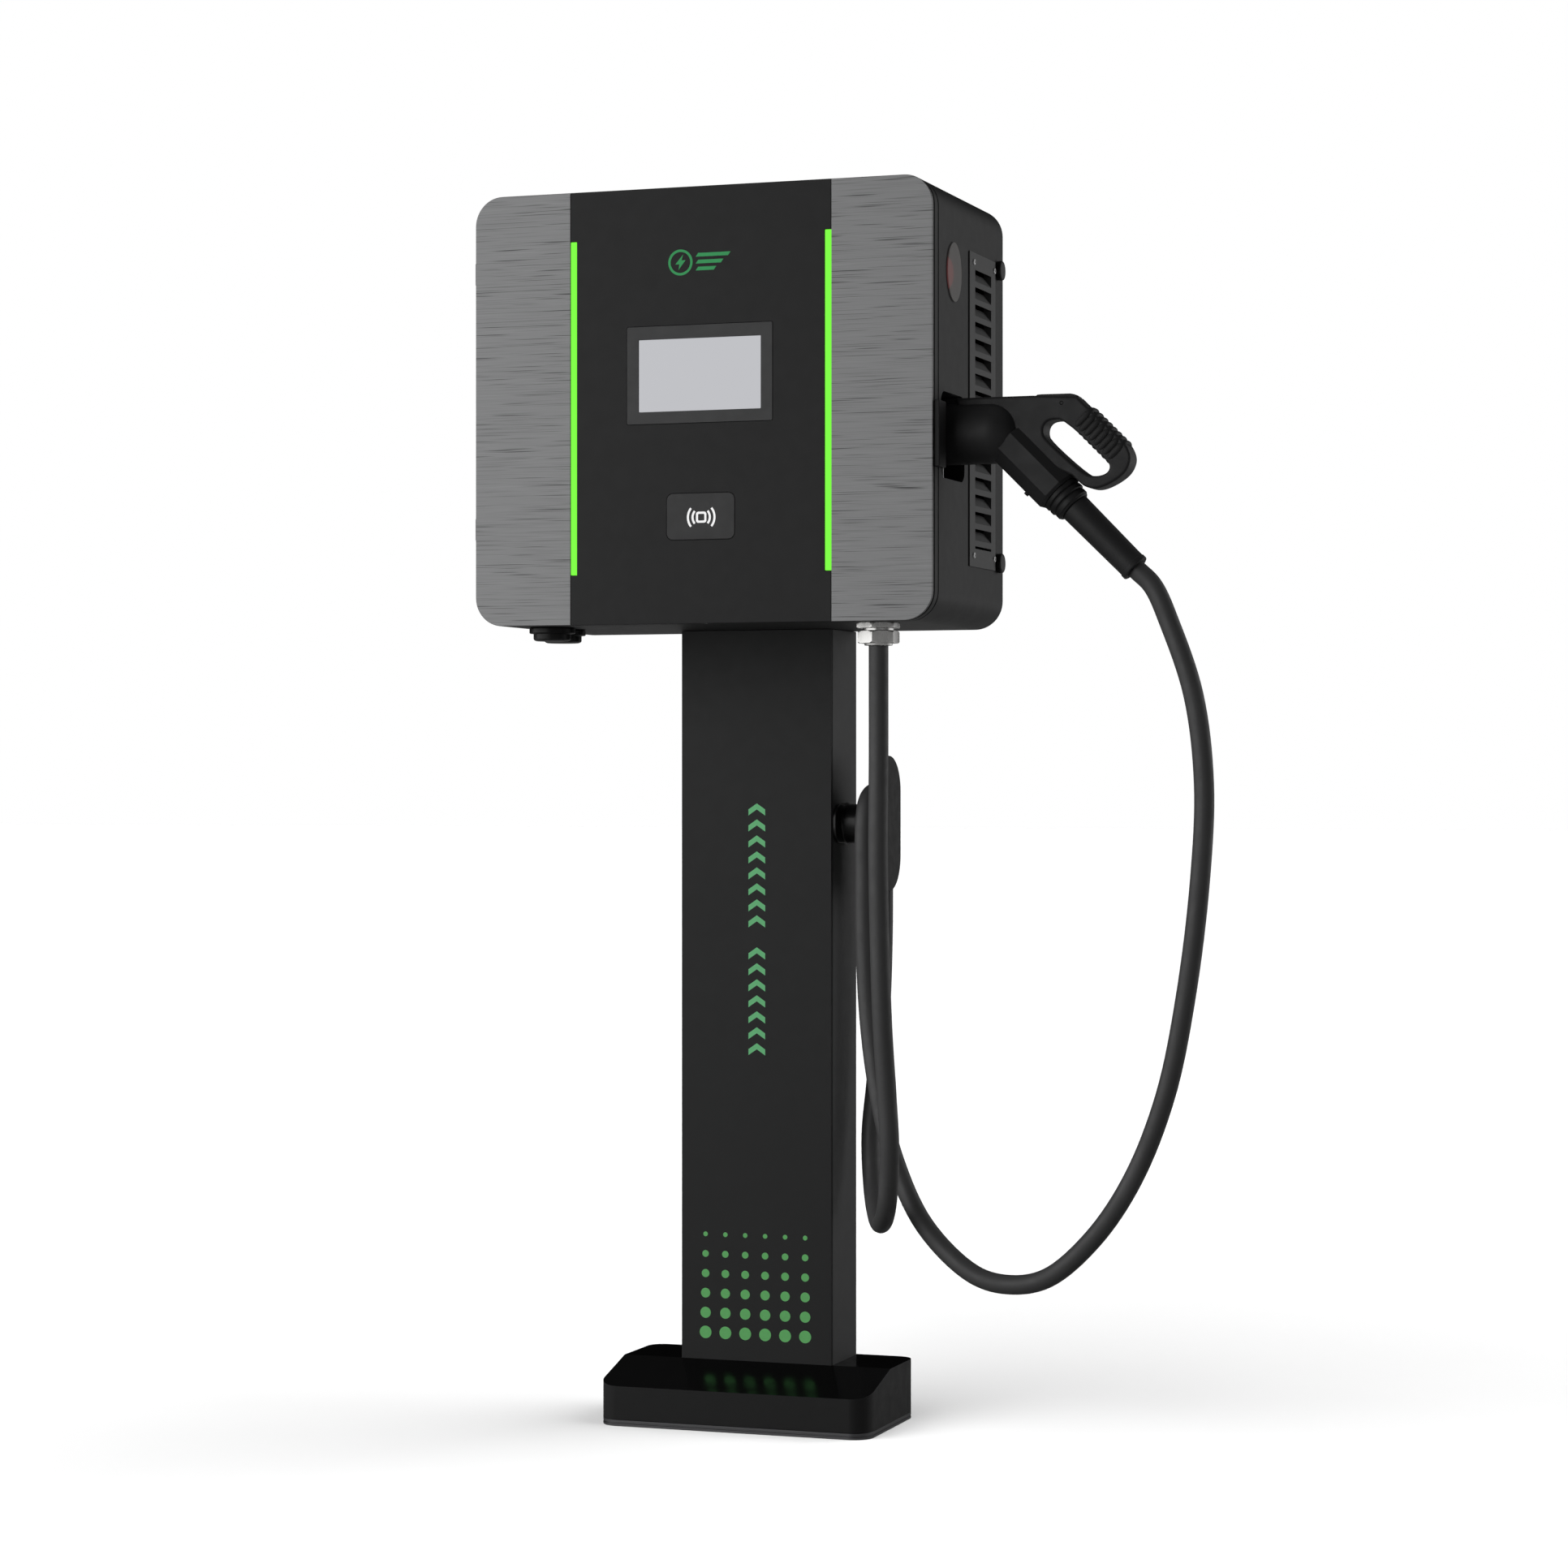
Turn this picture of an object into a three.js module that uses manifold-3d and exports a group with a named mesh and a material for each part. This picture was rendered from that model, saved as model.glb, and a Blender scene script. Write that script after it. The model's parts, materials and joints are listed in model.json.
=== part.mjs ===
// EV charging post: a steel cabinet with a hinged front door on a box column with a cast foot, and one
// tethered DC connector that rests in a holster on the cabinet's right side.
// Millimetres, +Z up. The origin is the middle of the foot's underside. +X is the object's right as seen
// from the front, and the front faces -Y.
import * as THREE from 'three';
import { mergeVertices } from 'three/addons/utils/BufferGeometryUtils.js';
import Module from 'manifold-3d';

const wasm = await Module();
wasm.setup();

// ---- driving dimensions ----
const GAP = 0.3; // between touching pieces
const WALL = 3; // folded sheet steel

const CAB = { half: 290, front: -203.3, rear: 92.7, bottom: 980, top: 1500, corner: 35 };
const SKIN = 4; // door's front panels
const DOOR_REAR = -181.5;
const BODY_FRONT = -179.2;
const FRAME_FRONT = CAB.front + SKIN + GAP;
const SIDE_INNER = CAB.half - WALL;

const CENTRE_HALF = 165.3; // half width of the black centre panel
const LED = { inner: 157.6, bottom: 1040, top: 1440.6, sunk: 0.2 };
const SCREEN = { halfWidth: 77.5, bottom: 1233.2, top: 1319.6, sunk: 0.4, depth: 8 };
const BEZEL = { halfWidth: 92.4, bottom: 1218.6, top: 1335.3, proud: 0.4, depth: 10, corner: 2 };
const PAD = { x: 1.6, halfWidth: 43.1, bottom: 1079.6, top: 1134.9, proud: 0.4, depth: 9, corner: 2 };

const COLUMN = { half: 99, front: -4.3, rear: 92.2, bottom: 8.3, lip: 14, coverInset: 0.5 };
const FOOT = { half: 175, halfDepth: 95.5, plate: 8, lip: 46.4, plateau: 74, frontR: 25, rearR: 20 };

const VENT = { front: -57, rear: 53.1, bottom: 1050.6, top: 1429 };
const SLOT = { half: 34.4, top: 1408.4, pitch: 20.82, height: 13.3, lastHeight: 2.6, count: 17 };
const GRILLE = { plate: 1.6, core: 8, rise: 7, climb: 12.5, screwR: 3.6, screwOut: 3.2 };
const FAN = { half: 46, depth: 25, z: 1240, bore: 43, inset: 6, corner: 5, hub: 17, spoke: 3 };
const ROTOR = { blades: 7, span: 26, thick: 2, middle: 28, pitch: 0.6, clearance: 2 };
const FAN_Y = (VENT.front + VENT.rear) / 2;

const KNOB = { y: 68, heights: [1420.5, 1060.5], r: 12, out: 7.3 };

const STOP = { y: -120.2, z: 1394.9, halfY: 28.15, halfZ: 35.15 };
const CUP = { back: 250, wall: 3, grow: 3, stemBore: 8.5 };
const FLAP = { inner: 290.5, outer: 292.1, nose: 0.8, pinHalf: 6, overlap: 2 };

const RECESS = { front: -170.4, rear: -74, bottom: 1148.6, top: 1250.6, corner: 6, back: 205 };
const HOLSTER = {
  thick: 2, flange: 6, drain: [230, 250, -140, -106],
  baseR: 40, base: 3, socketR: 35, socketEnd: 238, bore: 31,
};
const HOLSTER_PLATE = { out: 6.9, front: -199, rear: -172, bottom: 1158.9, top: 1236.6 };
const BRACKET = { inner: 262, bend: 280, outer: 288.5, front: -156, rear: -141, top: 1167 };
const GUN = { y: -123, z: 1203, r: 36.7, dome: 340, mouth: 272, tip: 216 };
const GUN_END = [421.5, 1130.5]; // X, Z of the slanted body's end face
const COLLAR_LENGTH = 25;
const BOOT_LENGTH = 104;
const LATCH_PIVOT = [340, 1236];
const BUTTON_PIVOT = [427.6, 1233.8];

const HOOK = {
  y: 44.2, z: 740, r: 24, plateIn: 152, plateOut: 157, plateHalfY: 50, plateHalfZ: 84, plateR: 44,
};
const HOOK_FLANGE = { halfY: 46, halfZ: 24, corner: 20, thick: 4 };
const CABLE_R = 12;
const OUT_GLAND = {
  x: 206, y: -148, end: 953, hole: 20.4, thread: 20, body: 26.5, ring: 18.7, nut: 27, cap: 25.5,
};
const IN_GLANDS = [[-216, -140], [-229, -75]];
const IN_GLAND = { hole: 18.4, thread: 18, body: 28, dome: 23, nut: 24, end: 963.7 };

// ---- materials ----
function finish(color, roughness, metalness, extra = {}) {
  return new THREE.MeshStandardMaterial({ color, roughness, metalness, ...extra });
}
const LOOK = {
  steelGrey: [0x343536, 0.6, 0.3],
  black: [0x1c1c1d, 0.45, 0.2],
  brushed: [0x76777a, 0.35, 0.9],
  gloss: [0x0c0c0d, 0.12, 0.1],
  zinc: [0xb4b6b8, 0.4, 0.9],
  nickel: [0xc9c9c6, 0.25, 1],
  rubber: [0x161616, 0.8, 0],
  plastic: [0x1f1f20, 0.6, 0],
  led: [0x74ff3c, 0.3, 0],
  screen: [0xc3c4c8, 0.15, 0],
  red: [0xb31b1b, 0.4, 0],
  clear: [0x9aa09e, 0.1, 0, { transparent: true, opacity: 0.5 }],
  board: [0x1d5a34, 0.5, 0.1],
  lightGrey: [0xb9bbbd, 0.5, 0.1],
};

// ---- geometry helpers ----
function solid(geometry) {
  const bare = new THREE.BufferGeometry();
  const source = geometry.index ? geometry.toNonIndexed() : geometry;
  bare.setAttribute('position', source.getAttribute('position').clone());
  const merged = mergeVertices(bare, 1e-3);
  const mesh = new wasm.Mesh({
    numProp: 3,
    vertProperties: new Float32Array(merged.getAttribute('position').array),
    triVerts: new Uint32Array(merged.index.array),
  });
  return new wasm.Manifold(mesh);
}

function join(first, ...others) {
  return others.reduce((sum, piece) => sum.add(piece), first);
}

function cut(first, ...others) {
  return others.reduce((rest, piece) => rest.subtract(piece), first);
}

function toGeometry(body) {
  const mesh = body.getMesh();
  const geometry = new THREE.BufferGeometry();
  geometry.setAttribute('position', new THREE.BufferAttribute(new Float32Array(mesh.vertProperties), 3));
  geometry.setIndex(new THREE.BufferAttribute(new Uint32Array(mesh.triVerts), 1));
  geometry.computeVertexNormals();
  return geometry;
}

function box(x0, x1, y0, y1, z0, z1) {
  const geometry = new THREE.BoxGeometry(Math.abs(x1 - x0), y1 - y0, z1 - z0);
  geometry.translate((x0 + x1) / 2, (y0 + y1) / 2, (z0 + z1) / 2);
  return solid(geometry);
}

function extrude(shape, depth, curveSegments = 3) {
  return new THREE.ExtrudeGeometry(shape, { depth, bevelEnabled: false, curveSegments });
}

// A shape drawn in X and Z, extruded along Y.
function slabY(shape, y0, y1, curveSegments) {
  const geometry = extrude(shape, y1 - y0, curveSegments);
  geometry.rotateX(Math.PI / 2);
  geometry.translate(0, y1, 0);
  return solid(geometry);
}

// A shape drawn in Y and Z, extruded along X.
function slabX(shape, x0, x1, curveSegments) {
  const geometry = extrude(shape, Math.abs(x1 - x0), curveSegments);
  const turn = new THREE.Matrix4().makeBasis(
    new THREE.Vector3(0, 1, 0),
    new THREE.Vector3(0, 0, 1),
    new THREE.Vector3(1, 0, 0),
  );
  geometry.applyMatrix4(turn);
  geometry.translate(Math.min(x0, x1), 0, 0);
  return solid(geometry);
}

// A shape drawn in X and Y, extruded along Z.
function slabZ(shape, z0, z1, curveSegments) {
  const geometry = extrude(shape, z1 - z0, curveSegments);
  geometry.translate(0, 0, z0);
  return solid(geometry);
}

function roundRect(x0, x1, y0, y1, r, farR = r) {
  const shape = new THREE.Shape();
  const quarter = Math.PI / 2;
  shape.moveTo(x0 + r, y0);
  shape.lineTo(x1 - r, y0);
  shape.absarc(x1 - r, y0 + r, r, -quarter, 0);
  shape.lineTo(x1, y1 - farR);
  shape.absarc(x1 - farR, y1 - farR, farR, 0, quarter);
  shape.lineTo(x0 + farR, y1);
  shape.absarc(x0 + farR, y1 - farR, farR, quarter, Math.PI);
  shape.lineTo(x0, y0 + r);
  shape.absarc(x0 + r, y0 + r, r, Math.PI, 3 * quarter);
  return shape;
}

function polygon(points) {
  const shape = new THREE.Shape();
  points.forEach(([x, y], i) => (i ? shape.lineTo(x, y) : shape.moveTo(x, y)));
  return shape;
}

function oval(cx, cy, rx, ry) {
  const shape = new THREE.Shape();
  shape.absellipse(cx, cy, rx, ry, 0, 2 * Math.PI);
  return shape;
}

function smoothOutline(points, divisions) {
  const curve = new THREE.SplineCurve(points.map(([x, y]) => new THREE.Vector2(x, y)));
  return curve.getPoints(divisions).map((p) => [p.x, p.y]);
}

// A turned piece: profile points are [radius, height], closed on the axis at both ends.
function turned(profile, sides = 24) {
  const points = profile.map(([r, h]) => new THREE.Vector2(r, h));
  points.unshift(new THREE.Vector2(0, profile[0][1]));
  points.push(new THREE.Vector2(0, profile[profile.length - 1][1]));
  return new THREE.LatheGeometry(points, sides);
}

function turnedZ(profile, x, y, sides) {
  const geometry = turned(profile, sides);
  geometry.rotateX(Math.PI / 2);
  geometry.translate(x, y, 0);
  return solid(geometry);
}

function turnedX(profile, y, z, sides) {
  const geometry = turned(profile, sides);
  geometry.rotateZ(-Math.PI / 2);
  geometry.translate(0, y, z);
  return solid(geometry);
}

function turnedY(profile, x, z, sides) {
  const geometry = turned(profile, sides);
  geometry.translate(x, 0, z);
  return solid(geometry);
}

// A turned piece along the connector's slanted axis, with heights counted from the body's end face.
function turnedSlant(profile, sides, spin = 0) {
  const geometry = turned(profile, sides);
  geometry.rotateY(spin);
  geometry.rotateZ(-Math.PI / 2);
  geometry.rotateY(Math.PI / 4);
  geometry.translate(GUN_END[0], GUN.y, GUN_END[1]);
  return solid(geometry);
}

const disc = (r, h0, h1) => [[r, h0], [r, h1]];

// ---- the assembly ----
const post = new THREE.Group();
function add(name, look, body) {
  const mesh = new THREE.Mesh(toGeometry(body), finish(...LOOK[look]));
  mesh.name = name;
  post.add(mesh);
}

// ---- foot and column ----
const footPlan = (inset) => roundRect(
  -FOOT.half + inset, FOOT.half - inset, -FOOT.halfDepth + inset, FOOT.halfDepth - inset,
  FOOT.frontR - inset, FOOT.rearR - inset,
);
const ANCHORS = [[-140, -62], [140, -62], [-140, 62], [140, 62]];
const ANCHOR = { hole: 7, shank: 6, washer: 12, washerTop: 2.5, head: 10.5, headTop: 12 };
const ENTRY = roundRect(-42, 42, 18, 78, 3); // supply cable opening, through the foot and the cabinet's floor
const COVER_WALL = 3;
const ABOVE_FOOT = 100;

function basePlate() {
  const holes = ANCHORS.map(([x, y]) => turnedZ(disc(ANCHOR.hole, -1, FOOT.plate + 1), x, y, 12));
  return cut(slabZ(footPlan(0), 0, FOOT.plate), slabZ(ENTRY, -1, FOOT.plate + 1), ...holes);
}

function coverProfile(drop, overrun) {
  const { halfDepth, lip, plateau } = FOOT;
  const front = -halfDepth - overrun;
  return polygon([
    [front, 0], [halfDepth + overrun, 0], [halfDepth + overrun, plateau - drop],
    [COLUMN.front, plateau - drop], [front, lip - drop],
  ]);
}

function baseCover() {
  const overrun = 0.01;
  const outer = slabZ(footPlan(0), FOOT.plate + GAP, ABOVE_FOOT).intersect(
    slabX(coverProfile(0, overrun), -FOOT.half - 1, FOOT.half + 1),
  );
  const inner = slabZ(footPlan(COVER_WALL), 0, ABOVE_FOOT).intersect(
    slabX(coverProfile(COVER_WALL, overrun), -FOOT.half, FOOT.half),
  );
  const edge = COLUMN.half + GAP;
  const hole = box(-edge, edge, COLUMN.front - GAP, COLUMN.rear + GAP, FOOT.lip - COVER_WALL * 2, ABOVE_FOOT);
  return cut(outer, inner, hole);
}

function anchorBolt([x, y]) {
  const top = FOOT.plate + GAP;
  return join(
    turnedZ(disc(ANCHOR.shank, 0.4, top + 1), x, y, 12),
    turnedZ(disc(ANCHOR.washer, top, top + ANCHOR.washerTop), x, y, 12),
    turnedZ(disc(ANCHOR.head, top + 2, top + ANCHOR.headTop), x, y, 6),
  );
}

function columnBody() {
  const { half, rear, bottom, lip } = COLUMN;
  const front = COLUMN.front + WALL + GAP;
  const wrap = polygon([
    [-half, front], [-half, rear], [half, rear], [half, front], [half - lip, front],
    [half - lip, front + WALL], [half - WALL, front + WALL], [half - WALL, rear - WALL],
    [-half + WALL, rear - WALL], [-half + WALL, front + WALL], [-half + lip, front + WALL],
    [-half + lip, front],
  ]);
  return slabZ(wrap, bottom, CAB.bottom - GAP);
}

function columnCover() {
  const { front, bottom } = COLUMN;
  const half = COLUMN.half - COLUMN.coverInset;
  return box(-half, half, front, front + WALL, bottom, CAB.bottom - GAP);
}

// ---- cable hook on the column's right side ----
function cableHook() {
  const { y, z, r, plateIn, plateOut, plateHalfY, plateHalfZ, plateR } = HOOK;
  const { halfY, halfZ, corner, thick } = HOOK_FLANGE;
  const root = COLUMN.half + GAP;
  const flange = slabX(roundRect(y - halfY, y + halfY, z - halfZ, z + halfZ, corner), root, root + thick);
  const drum = turnedX(disc(r, root + thick - GAP, plateIn + 1), y, z, 24);
  const shape = roundRect(y - plateHalfY, y + plateHalfY, z - plateHalfZ, z + plateHalfZ, plateR);
  return join(flange, drum, slabX(shape, plateIn, plateOut, 5));
}

// ---- cabinet body ----
const cabinetOutline = (inset) => roundRect(
  -CAB.half + inset, CAB.half - inset, CAB.bottom + inset, CAB.top - inset, CAB.corner - inset,
);
const recessOutline = (grow) => roundRect(
  RECESS.front - grow, RECESS.rear + grow, RECESS.bottom - grow, RECESS.top + grow, RECESS.corner + grow,
);

function housingShell() {
  const ring = cut(
    slabY(cabinetOutline(0), BODY_FRONT, CAB.rear),
    slabY(cabinetOutline(WALL), BODY_FRONT - 1, CAB.rear - WALL),
  );
  const rim = 13;
  const ventWindow = (side) => box(
    side * (SIDE_INNER - 2), side * (CAB.half + 1),
    VENT.front + rim, VENT.rear - rim + 2, VENT.bottom + rim, VENT.top - rim,
  );
  const throughFloor = [CAB.bottom - 10, CAB.bottom + 10];
  const throughSide = [CAB.half - 10, CAB.half + 10];
  const stopHole = oval(STOP.y, STOP.z, STOP.halfY - FLAP.overlap, STOP.halfZ - FLAP.overlap);
  return cut(
    ring,
    ventWindow(1),
    ventWindow(-1),
    slabX(stopHole, ...throughSide, 12),
    slabX(recessOutline(0), ...throughSide),
    turnedZ(disc(OUT_GLAND.hole, ...throughFloor), OUT_GLAND.x, OUT_GLAND.y, 24),
    ...IN_GLANDS.map(([x, y]) => turnedZ(disc(IN_GLAND.hole, ...throughFloor), x, y, 24)),
    slabZ(ENTRY, ...throughFloor),
  );
}

// One slot between two louvres: its floor climbs steeply inward and leaves a low opening at the back.
function slotCut(side, top, height) {
  const face = CAB.half + GRILLE.plate;
  const out = CAB.half + 4;
  const back = CAB.half - GRILLE.core - 2;
  const slope = (GRILLE.climb * height) / SLOT.height / (GRILLE.plate + GRILLE.core);
  const floorAt = (x) => top - height + (face - x) * slope;
  const shape = polygon([
    [side * out, floorAt(out)], [side * out, top - 1],
    [side * back, top + GRILLE.rise], [side * back, floorAt(back)],
  ]);
  return slabY(shape, -SLOT.half, SLOT.half);
}

function ventGrille(side) {
  const { plate, core, screwR, screwOut } = GRILLE;
  const { front, rear, bottom, top } = VENT;
  const margin = 14;
  const face = box(side * (CAB.half + GAP), side * (CAB.half + plate), front, rear, bottom, top);
  const louvres = box(
    side * (CAB.half - core), side * (CAB.half + 1),
    front + margin, rear - margin + 2, bottom + margin, top - margin,
  );
  const screws = [[-40.6, 1417.4], [46.7, 1417.4], [-40.6, 1064.3], [46.7, 1064.3]].map(([y, z]) =>
    slabX(oval(y, z, screwR, screwR), side * (CAB.half + 1), side * (CAB.half + screwOut), 3));
  const slots = Array.from({ length: SLOT.count }, (_, i) => {
    const height = i === SLOT.count - 1 ? SLOT.lastHeight : SLOT.height;
    return slotCut(side, SLOT.top - i * SLOT.pitch, height);
  });
  return cut(join(face, louvres, ...screws), ...slots);
}

const along = (side, from, to) => [Math.min(side * from, side * to), Math.max(side * from, side * to)];

function fanFrame(side) {
  const { half, depth, z, bore, inset, corner, hub, spoke } = FAN;
  const [x0, x1] = along(side, SIDE_INNER - inset - depth, SIDE_INNER - inset);
  const [s0, s1] = along(side, SIDE_INNER - inset - depth, SIDE_INNER - inset - depth + spoke);
  const outline = roundRect(FAN_Y - half, FAN_Y + half, z - half, z + half, corner);
  const frame = cut(slabX(outline, x0, x1, 2), turnedX(disc(bore, x0 - 1, x1 + 1), FAN_Y, z, 24));
  const spokes = [
    box(s0, s1, FAN_Y - bore - 1, FAN_Y + bore + 1, z - spoke, z + spoke),
    box(s0, s1, FAN_Y - spoke, FAN_Y + spoke, z - bore - 1, z + bore + 1),
  ];
  return join(frame, turnedX(disc(hub, s0, s1), FAN_Y, z, 16), ...spokes);
}

function fanRotor(side) {
  const { blades, span, thick, middle, pitch, clearance } = ROTOR;
  const [x0, x1] = along(side, SIDE_INNER - clearance - FAN.depth, SIDE_INNER - FAN.inset - clearance);
  const hub = turnedX(disc(FAN.hub, x0, x1), FAN_Y, FAN.z, 16);
  const vanes = Array.from({ length: blades }, (_, i) => {
    const geometry = new THREE.BoxGeometry(x1 - x0 - 2, thick, span);
    geometry.rotateZ(side * pitch);
    geometry.scale(0.8, 1, 1);
    geometry.translate(0, 0, middle);
    geometry.rotateX((i * 2 * Math.PI) / blades);
    geometry.translate((x0 + x1) / 2, FAN_Y, FAN.z);
    return solid(geometry);
  });
  return join(hub, ...vanes);
}

function sideKnob(z) {
  const { r, out } = KNOB;
  const profile = [[r - 0.4, CAB.half + GAP], [r, CAB.half + out - 1.3], [r - 1.2, CAB.half + out]];
  return turnedX(profile, KNOB.y, z, 24);
}

// ---- holster in the right side ----
function holsterBox() {
  const { thick, flange, drain } = HOLSTER;
  const out = SIDE_INNER - GAP;
  const rim = slabX(recessOutline(flange), out - thick, out);
  const tray = slabX(recessOutline(thick), RECESS.back, out);
  const hollow = slabX(recessOutline(0), RECESS.back + thick, out + 1);
  const [x0, x1, y0, y1] = drain;
  return cut(join(rim, tray), hollow, box(x0, x1, y0, y1, RECESS.bottom - 4, RECESS.bottom + 4));
}

function holsterSocket() {
  const { thick, baseR, socketR, bore, socketEnd, base } = HOLSTER;
  const back = RECESS.back + thick + GAP;
  const profile = [[baseR, back], [baseR, back + base], [socketR, back + base], [socketR, socketEnd]];
  const inside = disc(bore, back + base, socketEnd + 1);
  return cut(turnedX(profile, GUN.y, GUN.z, 24), turnedX(inside, GUN.y, GUN.z, 24));
}

function holsterPlate() {
  const { out, front, rear, bottom, top } = HOLSTER_PLATE;
  return box(CAB.half + GAP, CAB.half + out, front, rear, bottom, top);
}

function holsterBracket() {
  const { thick } = HOLSTER;
  const { inner, bend, outer, front, rear, top } = BRACKET;
  const floor = RECESS.bottom + GAP;
  const foot = box(inner, bend + 5, front, rear, floor, floor + thick);
  return join(foot, box(bend, outer, front, front + thick, floor, top));
}

// ---- emergency stop in the right side ----
function stopCup() {
  const { y, z, halfY, halfZ } = STOP;
  const { back, wall, grow, stemBore } = CUP;
  const out = SIDE_INNER - GAP;
  const outer = slabX(oval(y, z, halfY + grow, halfZ + grow), back, out, 12);
  const inner = slabX(oval(y, z, halfY - 1, halfZ - 1), back + wall, out + 1, 12);
  return cut(outer, inner, turnedX(disc(stemBore, back - 1, back + wall + 1), y, z, 24));
}

function stopButton() {
  const stem = CUP.stemBore - 0.5;
  const profile = [[stem, 236], [stem, 270], [19, 273], [20, 276], [20, 281], [18, 285], [14, 286.2]];
  return turnedX(profile, STOP.y, STOP.z, 20);
}

function stopFlap() {
  const axisX = (FLAP.inner + FLAP.outer) / 2;
  const axisZ = STOP.z + STOP.halfZ - FLAP.nose;
  const lid = slabX(oval(STOP.y, STOP.z, STOP.halfY, STOP.halfZ), FLAP.inner, FLAP.outer, 12);
  const pin = turnedY(disc(FLAP.nose, STOP.y - FLAP.pinHalf, STOP.y + FLAP.pinHalf), axisX, axisZ, 12);
  return join(lid, pin);
}

// ---- cable glands in the floor ----
function outGlandBody() {
  const { x, y, body, ring, thread, nut } = OUT_GLAND;
  const under = CAB.bottom - GAP;
  const inside = CAB.bottom + WALL;
  const gland = join(
    turnedZ(disc(body, under - 6.2, under), x, y, 6),
    turnedZ(disc(ring, under - 9.4, under - 5.7), x, y, 24),
    turnedZ(disc(thread, under - 1, CAB.bottom + 17), x, y, 24),
    turnedZ(disc(nut, inside + GAP, inside + 7), x, y, 6),
  );
  return cut(gland, turnedZ(disc(CABLE_R + GAP, under - 20, CAB.bottom + 20), x, y, 20));
}

function outGlandCap() {
  const { x, y, end, cap } = OUT_GLAND;
  const lip = 16.5;
  const top = end + 17;
  const hex = turnedZ([[lip, end], [lip, end + 2], [22, end + 3.5], [cap, end + 7], [cap, top]], x, y, 6);
  const ring = turnedZ(disc(lip + 0.1, end, end + 3), x, y, 24);
  return cut(join(hex, ring), turnedZ(disc(CABLE_R + GAP, end - 1, top + 1), x, y, 20));
}

function inGland([x, y]) {
  const { thread, body, dome, nut, end } = IN_GLAND;
  const under = CAB.bottom - GAP;
  const inside = CAB.bottom + WALL;
  return join(
    turnedZ([[dome - 3, end], [dome, end + 1.3], [dome, under - 6.7]], x, y, 20),
    turnedZ(disc(body, under - 7.3, under), x, y, 20),
    turnedZ(disc(thread, under - 4.7, CAB.bottom + 14), x, y, 16),
    turnedZ(disc(nut, inside + GAP, inside + 6), x, y, 6),
  );
}

// ---- inside the cabinet ----
const PLATE = { half: 225, front: 62, thick: 2, bottom: 1020, top: 1470, footR: 7, footInset: 15 };
const ON_PLATE = PLATE.front - GAP;
// The four places at an inset from the corners of an upright rectangle.
const cornersOf = (left, right, bottom, top, inset) => [
  [left + inset, bottom + inset], [right - inset, bottom + inset],
  [left + inset, top - inset], [right - inset, top - inset],
];

function mountingPlate() {
  const { half, front, thick, bottom, top, footR, footInset } = PLATE;
  const plate = box(-half, half, front, front + thick, bottom, top);
  const corners = cornersOf(-half, half, bottom, top, footInset);
  const feet = corners.map(([x, z]) => turnedY(disc(footR, front + 1, CAB.rear - WALL - GAP), x, z, 12));
  return join(plate, ...feet);
}

const MODULE = {
  left: -200, right: 20, front: -40, bottom: 1190, top: 1450, fins: 9, finPitch: 24, finWidth: 12,
};
function powerModule() {
  const { left, right, front, bottom, top, fins, finPitch, finWidth } = MODULE;
  const body = box(left, right, front + 10, ON_PLATE, bottom, top);
  const grooves = Array.from({ length: fins }, (_, i) => {
    const x = left + 14 + i * finPitch;
    return box(x, x + finWidth, front, front + 28, bottom + 15, top - 15);
  });
  return cut(body, ...grooves);
}

const BOARD = { left: 50, right: 210, front: 52, rear: 54, bottom: 1300, top: 1440, leg: 4, legInset: 8 };
const CHIPS = [
  [70, 110, 8, 1380, 1420], [130, 150, 14, 1370, 1425], [165, 200, 6, 1330, 1360],
  [70, 140, 10, 1312, 1328], [90, 104, 18, 1345, 1359],
];
function controlBoard() {
  const { left, right, front, rear, bottom, top, leg, legInset } = BOARD;
  const board = box(left, right, front, rear, bottom, top);
  const corners = cornersOf(left, right, bottom, top, legInset);
  const legs = corners.map(([x, z]) => turnedY(disc(leg, front + 1, ON_PLATE), x, z, 8));
  const chips = CHIPS.map(([x0, x1, height, z0, z1]) => box(x0, x1, front - height, front + 1, z0, z1));
  return join(board, ...legs, ...chips);
}

const RAIL = { half: 200, depth: 7, z: 1139.5, flange: 17.5, web: 10.5 };
const RAIL_FRONT = ON_PLATE - RAIL.depth - GAP;

function dinRail() {
  const { half, depth, z, flange, web } = RAIL;
  const top = box(-half, half, ON_PLATE - depth, ON_PLATE - depth + 1, z - flange, z + flange);
  return join(top, box(-half, half, ON_PLATE - depth, ON_PLATE, z - web, z + web));
}

// A box in front of the rail: ends in X, depths in front of the rail, and ends in Z from the rail's middle.
const onRail = (x0, x1, front, rear, low, high) =>
  box(x0, x1, RAIL_FRONT - front, RAIL_FRONT - rear, RAIL.z + low, RAIL.z + high);
const BREAKER = { left: -190, right: -118, base: 48, half: 42, nose: 66, slot: 52, slotInset: 14 };
const TOGGLE = { y: RAIL_FRONT - 62, z: RAIL.z, r: 6, lever: 18, leverInset: 24, leverThick: 5 };
const CONTACTOR = { left: -100, right: -20, base: 60, half: 46, head: 86 };
const METER = { left: -10, right: 62, front: 60, half: 44, window: [4, 48, 6.5, 26.5] };
const TERMINALS = { left: 80, right: 188, front: 44, half: 32, ways: 7, pitch: 15, width: 9 };

function breakerBody() {
  const { left, right, base, half, nose, slot, slotInset } = BREAKER;
  const body = onRail(left, right, base, 0, -half, half);
  const front = onRail(left, right, nose, base - 8, -22.5, 22.5);
  return cut(join(body, front), onRail(left + slotInset, right - slotInset, nose + 4, slot, -11.5, 11.5));
}

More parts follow.
